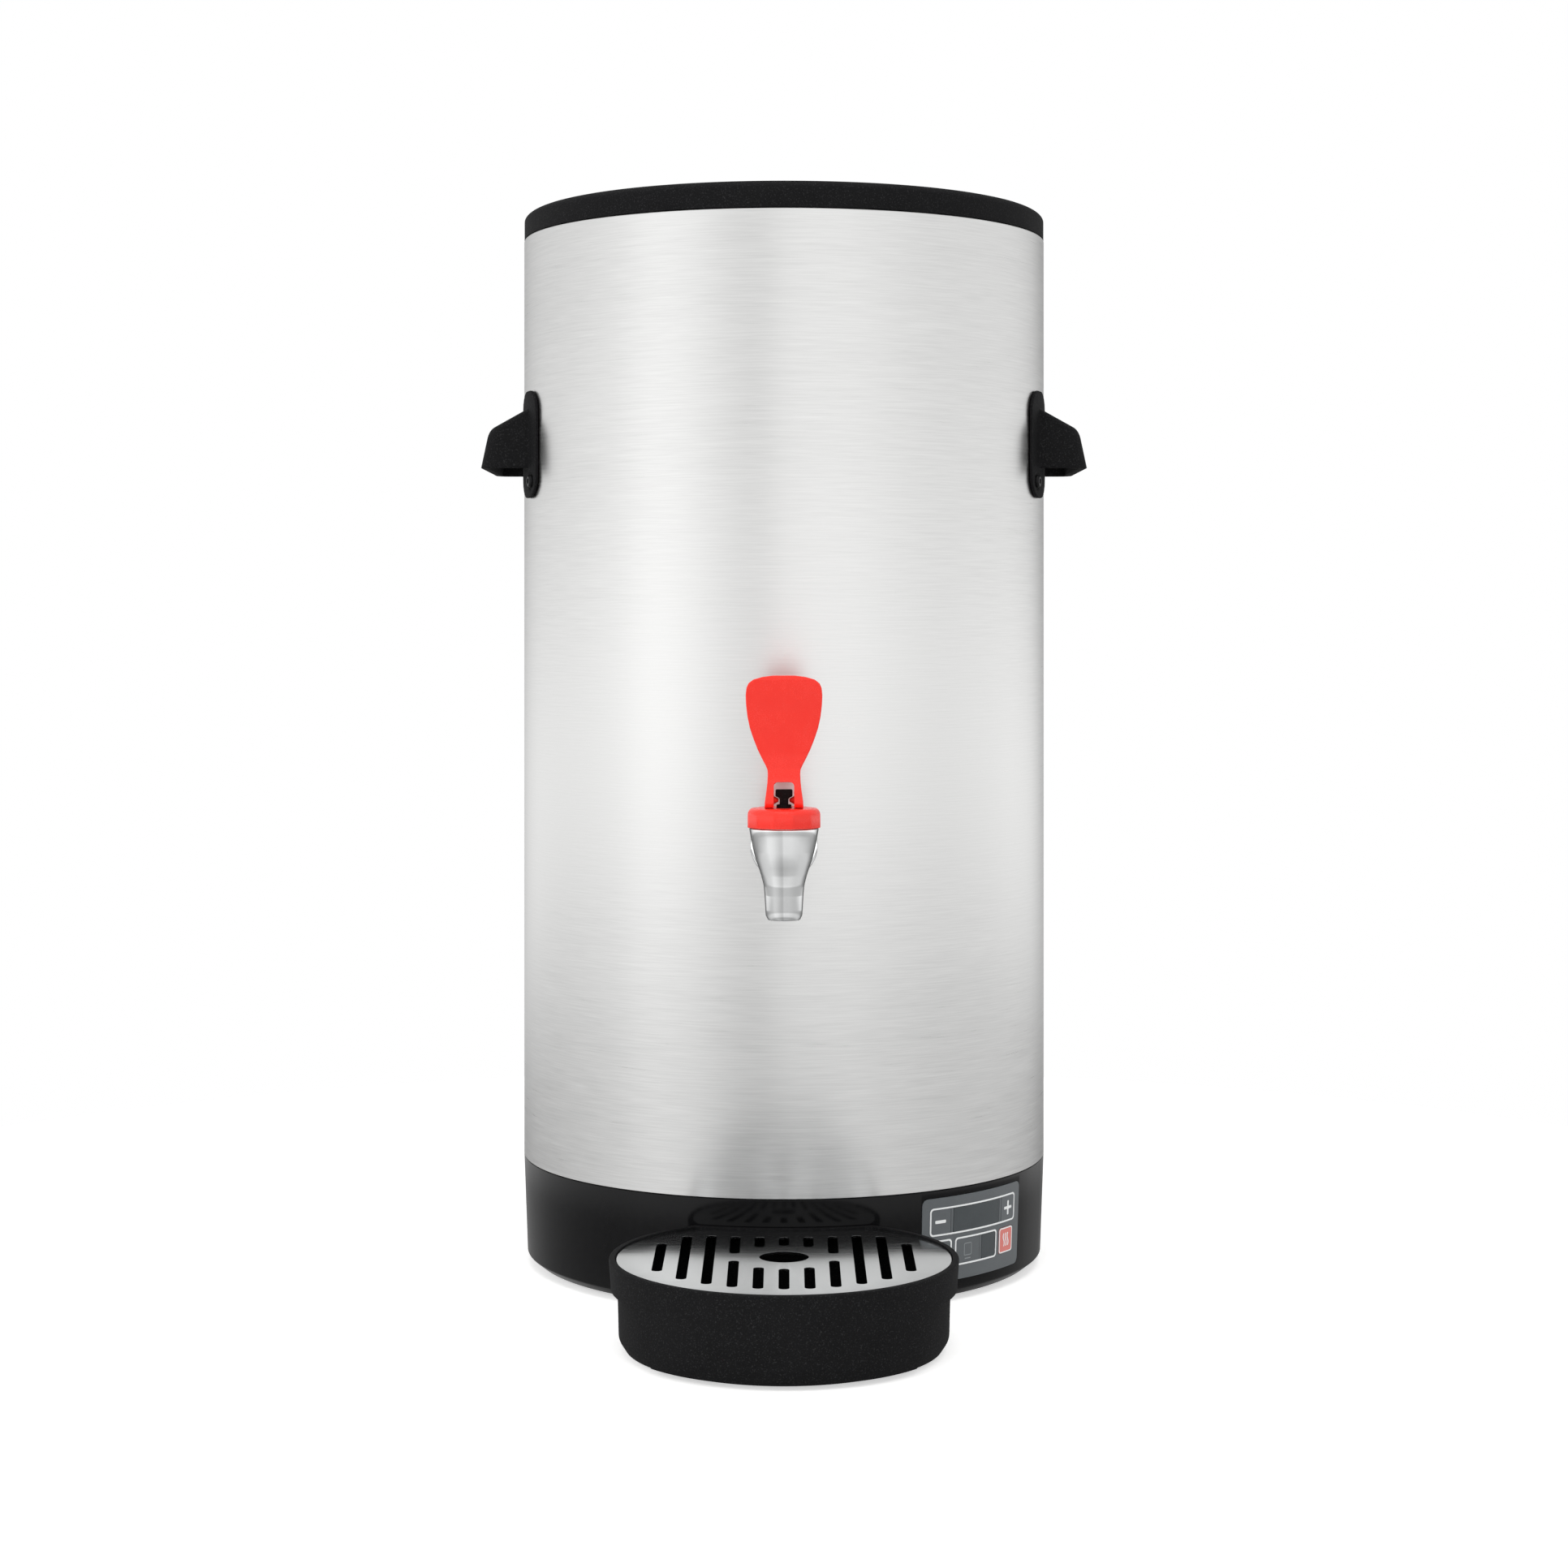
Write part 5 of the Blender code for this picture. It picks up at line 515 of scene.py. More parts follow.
lid = {"radius": 0.14985, "inside": 0.14735, "bottom": 0.5859, "edge": 0.5963, "edgeOut": 0.0082,
       "edgeUp": 0.0045, "top": 0.6008, "brim": 0.13785, "face": 0.5978, "faceRadius": 0.13485,
       "under": 0.5953, "rib": (0.12, 0.1225), "ribEnd": 0.5773, "gripFloor": 0.5838, "gripUnder": 0.5813}
bar = {"size": (0.092, 0.012, 0.0148), "middle": 0.5898, "edge": 0.0035}
edgeCurve = [(lid["radius"] - lid["edgeOut"] * (1 - cos(radians(a))),
              lid["edge"] + lid["edgeUp"] * sin(radians(a))) for a in range(80, -1, -10)]
cover = spun("lid", softened([
    (0, lid["gripFloor"]), (0.043, lid["gripFloor"], 0.004), (0.045, lid["face"], 0.0012),
    (lid["faceRadius"], lid["face"], 0.003), (lid["brim"], lid["top"], 0.002)] + edgeCurve + [
    (lid["radius"], lid["bottom"], 0.0004), (lid["inside"], lid["bottom"]), (lid["inside"], lid["under"]),
    (lid["rib"][1], lid["under"]), (lid["rib"][1], lid["ribEnd"], 0.0008),
    (lid["rib"][0], lid["ribEnd"], 0.0008),
    (lid["rib"][0], lid["under"]), (0.0475, lid["under"]), (0.0455, lid["gripUnder"], 0.003),
    (0, lid["gripUnder"])]), 160)
clearSelection()
bpy.ops.mesh.primitive_cube_add(size=1, location=(0, axisY, bar["middle"]), scale=bar["size"])
gripBar = settle(bpy.context.object)
bevelledEdges(gripBar, bar["edge"], 6, lambda one, other: min(one.z, other.z) > 0.595)
carve(cover, gripBar, "UNION")
finished(cover, "matt_black", "lid", body="lid")

seal = {"inside": 0.128, "outside": 0.134, "waist": 0.1322}
sealRing = spun("lidSeal", softened([
    (seal["inside"], 0.5874, 0.001), (seal["outside"], 0.5874, 0.001), (seal["outside"], 0.59, 0.0006),
    (seal["waist"], 0.5912, 0.0006), (seal["outside"], 0.5924, 0.0006), (seal["outside"], 0.595, 0.001),
    (seal["inside"], 0.595, 0.001)], 3), 144)
finished(sealRing, "seal_rubber", "lid_seal", body="lid")
print("shell, tank and lid made")


# Handles: a scoop drawn at its lip and pulled up in steps, with two ears bent round the shell

handle = {"lip": 0.4534, "rise": 0.0337, "reach": 0.0213, "halfWidth": 0.05, "corner": 0.0075,
          "root": 0.125, "wall": 0.003, "lipWall": 0.0035, "seat": 0.1507, "earTop": 0.4968,
          "earBottom": 0.4365, "earFrom": 12.5, "earTo": 24.2, "earCorner": 0.0125, "earFace": -0.0021,
          "earBack": -0.0003, "screw": 0.4457, "screwAngle": 20.5, "screwRadius": 0.1518,
          "pocket": (0.0044, 0.00525), "pocketCorner": 0.00435, "pocketFloor": -0.0015}
scoopShares = softened([(1.0, 0.0), (0.784, 0.638, 0.3), (-0.25, 1.0)], 6)


def scoop(name, side, inset, drop):
    # every level is the lip's outline drawn in towards the shell
    across, corner, root = handle["halfWidth"] - inset, handle["corner"] - inset, side * handle["root"]
    outward = side * (bodyRadius + handle["reach"] - inset)
    outline = softened([(root, axisY - across), (outward, axisY - across, corner),
                        (outward, axisY + across, corner), (root, axisY + across)], 6)
    form = drawn(name, [(x, y, handle["lip"] - drop) for x, y in outline])
    bpy.ops.mesh.edge_face_add()
    for (lastReach, lastRise), (reach, rise) in zip(scoopShares, scoopShares[1:]):
        wide, now = [bodyRadius + handle["reach"] * share - inset - handle["root"]
                     for share in (lastReach, reach)]
        bpy.ops.mesh.extrude_region_move(
            TRANSFORM_OT_translate={"value": (0, 0, handle["rise"] * (rise - lastRise))})
        bpy.ops.transform.resize(value=(now / wide, 1, 1), center_override=(root, axisY, 0))
    bpy.ops.object.mode_set(mode="OBJECT")
    return facedOut(form)


def makeHandle(name, side):
    form = carve(scoop(name, side, 0, 0), scoop("inside", side, handle["wall"], handle["lipWall"]))
    carve(form, rod("body", handle["seat"], 0.4, 0.52, 160))
    for end in (-1, 1):
        near, far = (radians(end * handle[key]) * bodyRadius for key in ("earFrom", "earTo"))
        outline = roundedBox((min(near, far), handle["earBottom"]), (max(near, far), handle["earTop"]),
                             handle["earCorner"], 10)
        ear = slab("ear", outline, handle["earFace"], handle["earBack"], "Y")
        across = radians(end * handle["screwAngle"]) * bodyRadius
        halfWide, halfTall = handle["pocket"]
        pocket = roundedBox((across - halfWide, handle["screw"] - halfTall),
                            (across + halfWide, handle["screw"] + halfTall), handle["pocketCorner"], 6)
        carve(ear, slab("pocket", pocket, -0.006, handle["pocketFloor"], "Y"))
        creased(ear, (-handle["earTo"], handle["earTo"]), 0)
        carve(form, bentRound(ear, side * 90, 0), "UNION")
    return moulded(form, 0.0005, 3, 0.35)


screwShape = softened([
    (0, 0.0008), (0.0016, 0.0008), (0.0016, 0.0018, 0.0001), (0.003, 0.0018, 0.0008),
    (0.0036, 0.0006, 0.0004), (0.0036, 0), (0.0018, 0), (0.0018, -0.009), (0, -0.009)], 3)
for word, side in (("left", -1), ("right", 1)):
    finished(makeHandle("handle" + word.title(), side), "matt_black", "handle_" + word)
    for place, end in (("front", -1), ("rear", 1)):
        head = spun("handleScrew" + word.title() + place.title(), screwShape, 32, (0, 0))
        azimuth = side * (90 + end * handle["screwAngle"])
        head.rotation_euler = (radians(90), 0, radians(azimuth))
        head.location = (*roundBody(handle["screwRadius"], azimuth), handle["screw"])
        finished(settle(head), "plain_steel", f"handle_screw_{word}_{place}", look="blackenedSteel")
print("handles made")


# The tap: a spun body with a turned shank, a twelve-sided bonnet, the lever and the stem

tap = {"spoutEnd": 0.2162, "spoutBore": 0.0065, "spoutTop": 0.238, "throat": 0.0101, "cup": 0.013,
       "rim": 0.0152, "rimFoot": 0.2626, "top": 0.2681, "shankZ": 0.249, "shank": 0.008,
       "shankEnd": axisY - 0.1113, "flange": axisY - 0.1566, "bore": 0.0055, "boreEnd": axisY - 0.1}
alongShank = (0, tap["shankZ"]), "Y"
tapShape = [(0.0081, tap["spoutEnd"], 0.0007), (0.00922, 0.21852), (0.00943, 0.2213),
            (0.00986, 0.22873, 0.02), (0.01031, 0.23383, 0.012), (0.01165, 0.23894, 0.02),
            (0.01302, 0.24311), (0.01434, 0.24682), (0.01531, 0.25054, 0.02), (0.0161, 0.25425),
            (0.01693, 0.25842), (0.0176, tap["rimFoot"], 0.0005)]
tapBody = spun("tapBody", softened(tapShape + [
    (tap["rim"], tap["rimFoot"]), (tap["rim"], tap["top"], 0.0004), (tap["cup"], tap["top"], 0.0004),
    (tap["cup"], 0.252), (tap["throat"], 0.246), (tap["throat"], tap["spoutTop"]),
    (tap["spoutBore"], tap["spoutTop"], 0.0005), (tap["spoutBore"], tap["spoutEnd"], 0.0007)], 4),
    96, (0, tapY))
shank = spun("shank", softened([
    (0, tap["flange"]), (0.0178, tap["flange"], 0.0012), (0.0178, tap["flange"] + 0.004, 0.0003),
    (tap["shank"], tap["flange"] + 0.004), (tap["shank"], tap["shankEnd"], 0.0006), (0, tap["shankEnd"])], 4),
    64, *alongShank)
neck = spun("neck", softened([
    (0, tapY + 0.013), (0.0112, tapY + 0.013), (0.0098, tapY + 0.026, 0.03),
    (0.0095, tap["flange"] - 0.0035, 0.006), (0.011, tap["flange"] + 0.001), (0, tap["flange"] + 0.001)], 6),
    64, *alongShank)
carve(tapBody, [shank, neck], "UNION")
carve(tapBody, rod("bore", tap["bore"], tapY, tap["boreEnd"], 48, *alongShank), smooth=40)
finished(tapBody, "polished_metal", "tap_body")

gasket = {"inside": 0.0083, "outside": 0.015, "front": tap["flange"] + 0.0043,
          "back": tap["flange"] + 0.0063}
washer = spun("tapGasket", softened([
    (gasket["inside"], gasket["front"]), (gasket["outside"], gasket["front"], 0.0005),
    (gasket["outside"], gasket["back"], 0.0005), (gasket["inside"], gasket["back"])], 3), 64, *alongShank)
finished(washer, "seal_rubber", "tap_gasket")

bonnet = {"radius": 0.019, "height": 0.0098, "middle": 0.2678, "inside": 0.0155, "ceiling": 0.2696,
          "hole": 0.00425}


def isLevel(one, other):
    return abs(one.z - other.z) < 0.0001


clearSelection()
bpy.ops.mesh.primitive_cylinder_add(vertices=12, radius=bonnet["radius"], depth=bonnet["height"],
                                    location=(0, tapY, bonnet["middle"]), rotation=(0, 0, radians(15)))
cap = bpy.context.object
cap.name = cap.data.name = "tapBonnet"
settle(cap)
bevelledEdges(cap, 0.0034, 6, lambda one, other: isLevel(one, other) and one.z > 0.2726)
bevelledEdges(cap, 0.0011, 4, lambda one, other: (
    not isLevel(one, other) and min(one.z, other.z) < 0.2631 and max(one.z, other.z) > 0.268))
bevelledEdges(cap, 0.0003, 2, lambda one, other: isLevel(one, other) and one.z < 0.263)
carve(cap, spun("inside", [
    (0, 0.26), (bonnet["inside"], 0.26), (bonnet["inside"], bonnet["ceiling"]),
    (bonnet["hole"], bonnet["ceiling"]), (bonnet["hole"], 0.276), (0, 0.276)], 48, (0, tapY)), smooth=30)
finished(cap, "tap_red", "tap_bonnet")

lever = {"bottom": 0.273, "height": 0.0668, "halfWidth": 0.0193, "reach": 0.0098, "heelY": 0.007,
         "heelZ": 0.2758, "heel": 0.0028, "windowTop": 0.2859, "windowHalf": 0.0051, "earX": 0.0061,
         "earZ": 0.2766}
frontShares = [(0.51, 0.0), (0.5, 0.045), (0.468, 0.11), (0.436, 0.185), (0.424, 0.25), (0.432, 0.285),
               (0.48, 0.318), (0.575, 0.37), (0.69, 0.44), (0.798, 0.52), (0.89, 0.6), (0.955, 0.69),
               (0.99, 0.775), (1.0, 0.85), (0.98, 0.905), (0.925, 0.94), (0.8, 0.968), (0.56, 0.988),
               (0.28, 0.998)]
sideShares = [(0.8, 0.13), (0.5, 0.22), (0.39, 0.29), (0.44, 0.4), (0.56, 0.55), (0.72, 0.72),
              (0.9, 0.88), (0.98, 0.97), (0.93, 1.0), (0.7, 1.0), (0.5, 0.88), (0.3, 0.72),
              (0.11, 0.55), (-0.07, 0.4), (-0.2, 0.29), (-0.34, 0.2), (-0.52, 0.1), (-0.56, 0.03),
              (-0.52, 0.0)]


def leverOutline(shares, width):
    return [(share * width, lever["bottom"] + rise * lever["height"]) for share, rise in shares]


def leverCutter(name, outline):
    return slab(name, outline, tapY - 0.02, tapY + 0.02, "Y")


half = leverOutline(frontShares, lever["halfWidth"])
heel = [(lever["heelY"] + lever["heel"] * cos(radians(a)),
         lever["heelZ"] + lever["heel"] * sin(radians(a))) for a in range(270, 376, 15)]
paddle = slab("tapLever", [(tapY - reach, z) for reach, z in heel + leverOutline(sideShares, lever["reach"])],
              -0.022, 0.022, "X")
carve(paddle, leverCutter("outline", half + [(-x, z) for x, z in half[::-1]]), "INTERSECT")
carve(paddle, leverCutter("window", roundedBox((-lever["windowHalf"], 0.262),
                                               (lever["windowHalf"], lever["windowTop"]), 0.002)))
for side in (-1, 1):
    ear = spun("ear", [(0, 0), (0.0026, 0), (0.0008, 0.0034), (0, 0.0034)], 32, (0, 0))
    ear.rotation_euler = (0, radians(-90 * side), 0)
    ear.location = (side * lever["earX"], tapY, lever["earZ"])
    carve(paddle, settle(ear), "UNION")
moulded(paddle, 0.00028, 7, 0.3)
finished(paddle, "tap_red", "tap_lever", body="lever")

stem = {"bottom": 0.2427, "pin": 0.003, "collar": 0.0075, "collarFrom": 0.2517, "collarTo": 0.2537,
        "rod": 0.00375, "rodTop": 0.2744, "headNeck": 0.0022, "headHalf": 0.0043, "headTop": 0.282,
        "headDepth": 0.0025}
spindle = spun("tapStem", softened([
    (0, stem["bottom"]), (stem["pin"], stem["bottom"], 0.0003), (stem["pin"], stem["collarFrom"]),
    (stem["collar"], stem["collarFrom"], 0.0002), (stem["collar"], stem["collarTo"], 0.0002),
    (stem["rod"], stem["collarTo"]), (stem["rod"], stem["rodTop"], 0.0004), (0, stem["rodTop"])], 3),
    48, (0, tapY))
head = slab("head", softened([
    (-stem["headNeck"], 0.2722), (stem["headNeck"], 0.2722), (stem["headNeck"], 0.2776, 0.0012),
    (stem["headHalf"], 0.2787, 0.0005), (stem["headHalf"], stem["headTop"], 0.0007),
    (-stem["headHalf"], stem["headTop"], 0.0007), (-stem["headHalf"], 0.2787, 0.0005),
    (-stem["headNeck"], 0.2776, 0.0012)], 4), tapY - stem["headDepth"], tapY + stem["headDepth"], "Y")
carve(spindle, bevelled(head, 0.0003, 2, 60), "UNION")
finished(spindle, "matt_black", "tap_stem", body="stem")
print("tap made")


# The drip tray and its grille

tray = {"foot": 0.074, "rim": 0.0884, "height": 0.0465, "recessTop": 0.0311, "recess": 0.084,
        "recessOut": 0.091, "recessFront": tapY - 0.052, "slabTop": 0.0313, "floor": 0.003, "basin": 0.0815,
        "basinTop": 0.08265, "basinBack": 0.1553, "seat": 0.08515, "seatZ": 0.0443, "seatBack": 0.1528,
        "above": 0.05}
tub = spun("dripTray", softened([
    (0, 0), (tray["foot"], 0, 0.003), (0.0831, 0.0027, 0.0012), (0.0859, 0.0097, 0.006),
    (tray["rim"], tray["height"], 0.001), (0, tray["height"])]), 180, (0, tapY))
# a recess for the fingers on each side, below the rim
drawnIn = spun("drawnIn", softened([
    (0.079, -0.002), (0.079, 0), (0.0834, 0.00675, 0.006), (tray["recess"], tray["recessTop"], 0.0014),
    (tray["recessOut"], tray["recessTop"]), (tray["recessOut"], -0.002)], 4), 180, (0, tapY))
behind = slab("behind", softened([
    (tray["recessFront"], -0.03), (tray["recessFront"], tray["slabTop"], 0.0075),
    (tapY + 0.1, tray["slabTop"]), (tapY + 0.1, -0.03)], 10), -0.1, 0.1, "X")
carve(drawnIn, behind, "INTERSECT")
carve(tub, drawnIn)
# the base's wall keeps the tray clear of it
low, high = -0.002, 0.0485
room = baseRadius(low) + 0.0003
carve(tub, spun("base", [(0, low), (room, low), (room + (baseRadius(high) - baseRadius(low)), high),
                                (0, high)], 160))
basin = spun("basin", softened([
    (0, tray["floor"]), (0.0765, tray["floor"], 0.003), (0.0809, 0.009, 0.008), (tray["basin"], 0.0286),
    (tray["basinTop"], 0.0335), (tray["basinTop"], tray["above"]), (0, tray["above"])]), 144, (0, tapY))
carve(basin, rod("back", tray["basinBack"], -0.01, 0.06, 160))
seat = rod("seat", tray["seat"], tray["seatZ"], tray["above"], 144, (0, tapY))
carve(seat, rod("back", tray["seatBack"], -0.01, 0.06, 160))
carve(tub, [basin, seat])
finished(tub, "matt_black", "drip_tray", body="tray")

grille = {"low": 0.0446, "high": 0.0458, "radius": 0.08475, "back": 0.1532, "pitch": 0.0126, "slot": 0.0053,
          "perSide": 5, "field": 0.0707, "margin": 0.016, "clear": 0.0265, "drain": 0.0125}
plate = spun("dripGrille", softened([
    (0, grille["low"]), (grille["radius"], grille["low"], 0.0003), (grille["radius"], grille["high"], 0.0004),
    (0, grille["high"])], 3), 144, (0, tapY))
carve(plate, rod("back", grille["back"], 0.04, 0.05, 160))


def slotCutter(x, nearY, farY):
    half = grille["slot"] / 2
    outline = roundedBox((x - half, nearY), (x + half, farY), half * 0.98, 6)
    return slab("slot", outline, grille["low"] - 0.001, grille["high"] + 0.001)


def reach(radius, x):
    return sqrt(radius ** 2 - x ** 2)


slots = []
for column in range(-grille["perSide"], grille["perSide"] + 1):
    x = column * grille["pitch"]
    near = reach(grille["field"], x)
    far = max(-near, reach(grille["back"] + grille["margin"], x) - (axisY - tapY))
    spans = [(far, near)]
    if abs(x) < grille["clear"]:
        clear = reach(grille["clear"], x)
        spans = [(clear, near), (far, -clear)]
    slots += [slotCutter(x, tapY - end, tapY - start) for start, end in spans if end - start > grille["slot"]]
slots.append(rod("drain", grille["drain"], 0.04, 0.05, 72, (0, tapY)))
carve(plate, joinedUp(slots, "slots"))
bevelled(plate, 0.00018, 2, 60, 50)
finished(plate, "brushed_steel", "drip_grille", body="grille")
print("tray and grille made")


# The control panel: foil, keys, windows and what is printed on them

panes = [*keys.values(), *windows.values()]
foil = panelPlate("panelFoil", panel["span"], (panel["top"] - panel["height"], panel["top"]),
                  (panel["back"], panel["front"]), panel["corner"],
                  [(*widened(span, row, 0.0003), panel["keyCorner"]) for span, row in panes])
finished(foil, "foil_grey", "panel_foil")
for name, (span, row) in windows.items():
    pane = panelPlate(name + "Window", *widened(span, row, 0), (panel["back"], panel["front"]), 0.0013)
    finished(pane, "window_grey", name + "_window")
for name, (span, row) in keys.items():
    face = panelPlate(name + "Key", *widened(span, row, 0), (-0.0012, panel["keyFront"]), 0.0014)
    flange = panelPlate("flange", *widened(span, row, 0.0008), (-0.0015, -0.0009), panel["keyCorner"])
    carve(face, flange, "UNION")
    finished(face, "key_red" if name == "boil" else "foil_grey", "key_" + name, body=name + "_button")

# the ink is drawn 0.06 mm thick so that it shows
ink, inkRoot = 0.00006, 0.00002


def printedLine(name, span, rise, corner, width, body, stand):
    # a line round a field
    inner = degrees(width / bodyRadius)
    field = (span[0] + inner, span[1] - inner), (rise[0] + width, rise[1] - width), corner - width * 0.6
    line = panelPlate(name, span, rise, (stand - inkRoot, stand + ink), corner, [field])
    return finished(line, "foil_grey", body=body, look="printWhite")


def printedBlock(name, azimuth, middle, size, body, stand):
    half = degrees(size[0] / 2 / bodyRadius)
    mark = panelPlate(name, (azimuth - half, azimuth + half), (middle - size[1] / 2, middle + size[1] / 2),
                      (stand - inkRoot, stand + ink), min(size) * 0.3)
    return finished(mark, "foil_grey", body=body, look="printWhite")


onKey = panel["keyFront"]
upper = (panel["upperTop"] - panel["row"], panel["upperTop"])
lower = (panel["lowerTop"] - panel["row"], panel["lowerTop"])
for name, span, (bottom, top), corner in (("upperLine", (31.5, 58.15), upper, 0.0022),
                                          ("powerLine", (31.5, 37.3), lower, 0.002),
                                          ("cupLine", (38.2, 51.2), lower, 0.002)):
    printedLine(name, span, (bottom - 0.0007, top + 0.0007), corner, 0.0009, "machine",
                panel["front"] + 0.0001)
printedLine("boilLine", keys["boil"][0], lower, 0.0016, 0.0007, "boil_button", onKey)
upperMiddle, lowerMiddle = sum(upper) / 2, sum(lower) / 2
printedBlock("minusSign", 34.2, upperMiddle, (0.0072, 0.0017), "minus_button", onKey)
printedBlock("plusSignLevel", 55.4, upperMiddle, (0.0078, 0.0015), "plus_button", onKey)
printedBlock("plusSignUpright", 55.4, upperMiddle, (0.0015, 0.0078), "plus_button", onKey + 0.00002)


def band(path, width):
    # the outline of an even stroke along a line
    sides = ([], [])
    for number, point in enumerate(path):
        along = Vector(path[min(number + 1, len(path) - 1)]) - Vector(path[max(number - 1, 0)])
        across = Vector((-along.y, along.x)).normalized() * width / 2
        sides[0].append((point[0] + across.x, point[1] + across.y))
        sides[1].append((point[0] - across.x, point[1] - across.y))
    return sides[0] + sides[1][::-1]


def printedMark(name, azimuth, height, outline, body, look="printWhite"):
    across = radians(azimuth - panelMiddle) * bodyRadius
    placed = [(across + x, height - baseTop + z) for x, z in outline]
    mark = slab(name, placed, -onKey - ink, -onKey + inkRoot, "Y")
    creased(mark, (azimuth - 4, azimuth + 4), panelMiddle)
    bentRound(mark, panelMiddle, baseTop, baseLean)
    return finished(mark, "foil_grey", body=body, look=look)


ring = [(0.0021 * sin(radians(a)), 0.0021 * cos(radians(a))) for a in range(38, 323, 12)]
printedMark("powerRing", 34.35, lowerMiddle, band(ring, 0.0006), "power_button")
upright = band([(0, -0.0013), (0, 0.0013)], 0.0006)
printedMark("powerBar", 34.35, lowerMiddle + 0.0017, upright, "power_button")
mug = roundedBox((-0.0027, -0.0028), (0.0027, 0.0036), 0.0006, 4)
saucer = band([(-0.0022, 0), (0.0022, 0)], 0.0006)
printedMark("mugSides", 41.9, lowerMiddle, band(mug + mug[:1], 0.00045), "cup_button", "printGrey")
printedMark("mugSaucer", 41.9, lowerMiddle - 0.0046, saucer, "cup_button", "printGrey")
for number, shift in enumerate((-0.0021, 0, 0.0021)):
    wave = [(shift + 0.0006 * sin(tau * step / 12), -0.0036 + 0.0006 * step) for step in range(13)]
    printedMark(f"steamWave{number + 1}", 54.9, lowerMiddle + 0.0002, band(wave, 0.0008), "boil_button")
print("panel made")


# At the back and below: the water inlet, the cord's gland, the feet

def hexagonal(name, radius, low, high, x):
    # a nut's six flats, its corners turned off at both ends
    corners = [radians(60 * number + 30) for number in range(6)]
    nut = slab(name, [(x + radius * cos(corner), fittingsZ + radius * sin(corner)) for corner in corners],
               low, high, "Y")
    end, broad, slope = radius * 0.88, radius * 1.01, radius * 0.075
    turned = spun("turned", [(0, low), (end, low), (broad, low + slope), (broad, high - slope), (end, high),
                                    (0, high)], 72, (x, fittingsZ), "Y")
    return carve(nut, turned, "INTERSECT", smooth=25)


def boredOut(piece, x, radius, low, high):
    return carve(piece, rod("bore", radius, low, high, 48, (x, fittingsZ), "Y"), smooth=25)


# lengths along the nipple are from the body's axis
pipe = {"collar": 0.1347, "collarRadius": 0.0165, "thread": 0.1377, "end": 0.168, "radius": 0.0132,
        "root": 0.01215, "pitch": 0.001814, "bore": 0.008, "depth": 0.014, "firstTurn": 0.1588,
        "edge": 0.0006}
nutSpan, gripSpan = (0.1503 + axisY, 0.1573 + axisY), (0.1503 + axisY, 0.1553 + axisY)
turns = []
turnStart = pipe["firstTurn"]
while turnStart + pipe["pitch"] < pipe["end"] - 0.0008:
    turns += [(pipe["radius"], turnStart), (pipe["root"], turnStart + 0.42 * pipe["pitch"]),
              (pipe["root"], turnStart + 0.58 * pipe["pitch"]),
              (pipe["radius"], turnStart + pipe["pitch"] - 0.00008)]
    turnStart += pipe["pitch"]
nipplePath = [
    (0, pipe["collar"]), (pipe["collarRadius"], pipe["collar"]), (pipe["collarRadius"], pipe["thread"]),
    (pipe["radius"], pipe["thread"])] + turns + [
    (pipe["radius"], pipe["end"] - pipe["edge"]), (pipe["radius"] - 0.0008, pipe["end"]),
    (pipe["bore"] + pipe["edge"], pipe["end"]), (pipe["bore"], pipe["end"] - pipe["edge"]),
    (pipe["bore"], pipe["end"] - pipe["depth"]), (0, pipe["end"] - pipe["depth"])]
nipple = spun("inletNipple", [(radius, y + axisY) for radius, y in nipplePath], 72, (inletX, fittingsZ), "Y",
                     smooth=30)
finished(nipple, "plain_steel", "inlet_nipple", look="brass")
nut = boredOut(hexagonal("inletNut", 0.019, *nutSpan, inletX), inletX, 0.0135, 0.14 + axisY, 0.17 + axisY)
finished(nut, "plain_steel", "inlet_nut", look="brass")

gland = {"thread": 0.008, "dome": 0.01, "mouth": 0.0075, "bore": 0.0045, "end": 0.1663 + axisY,
         "flutes": 12, "flute": 0.0009, "fluteRing": 0.0104, "fluteFrom": 0.1572 + axisY}
dome = spun("cableGland", softened([
    (0, 0.131 + axisY), (gland["thread"], 0.131 + axisY), (gland["thread"], 0.1515 + axisY),
    (gland["dome"], 0.1515 + axisY), (gland["dome"], 0.1608 + axisY, 0.004),
    (gland["mouth"], gland["end"], 0.0012), (0, gland["end"])]), 72, (glandX, fittingsZ), "Y")
flutes = []
for number in range(gland["flutes"]):
    turn = radians(30 * number)
    place = (glandX + gland["fluteRing"] * cos(turn), fittingsZ + gland["fluteRing"] * sin(turn))
    flutes.append(rod("flute", gland["flute"], gland["fluteFrom"], 0.17 + axisY, 12, place, "Y"))
carve(dome, joinedUp(flutes, "flutes"))
carve(dome, hexagonal("hex", 0.012, *gripSpan, glandX), "UNION")
boredOut(dome, glandX, gland["bore"], 0.12 + axisY, 0.18 + axisY)
finished(dome, "matt_black", "cable_gland")

footShape = softened([
    (0, 0.0009), (0.0042, 0.0009, 0.0003), (0.005, 0, 0.0004), (0.0102, 0, 0.0009), (0.011, 0.0014, 0.0006),
    (0.011, 0.0055, 0.0003), (0.004, 0.0055), (0.004, 0.0103, 0.0008), (0, 0.0103)], 4)
for place, side, azimuth in (("front", "right", 45), ("rear", "right", 135), ("rear", "left", 225),
                             ("front", "left", 315)):
    foot = spun("foot" + place.title() + side.title(), footShape, 48, roundBody(0.112, azimuth))
    finished(foot, "foot_rubber", f"foot_{place}_{side}")
print("back and feet made")


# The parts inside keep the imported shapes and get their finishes

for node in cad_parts.values():
    for place in node.material_slots:
        if place.material:
            place.material = finishes[place.material.name.split(".")[0]]


# Camera, floor and studio light

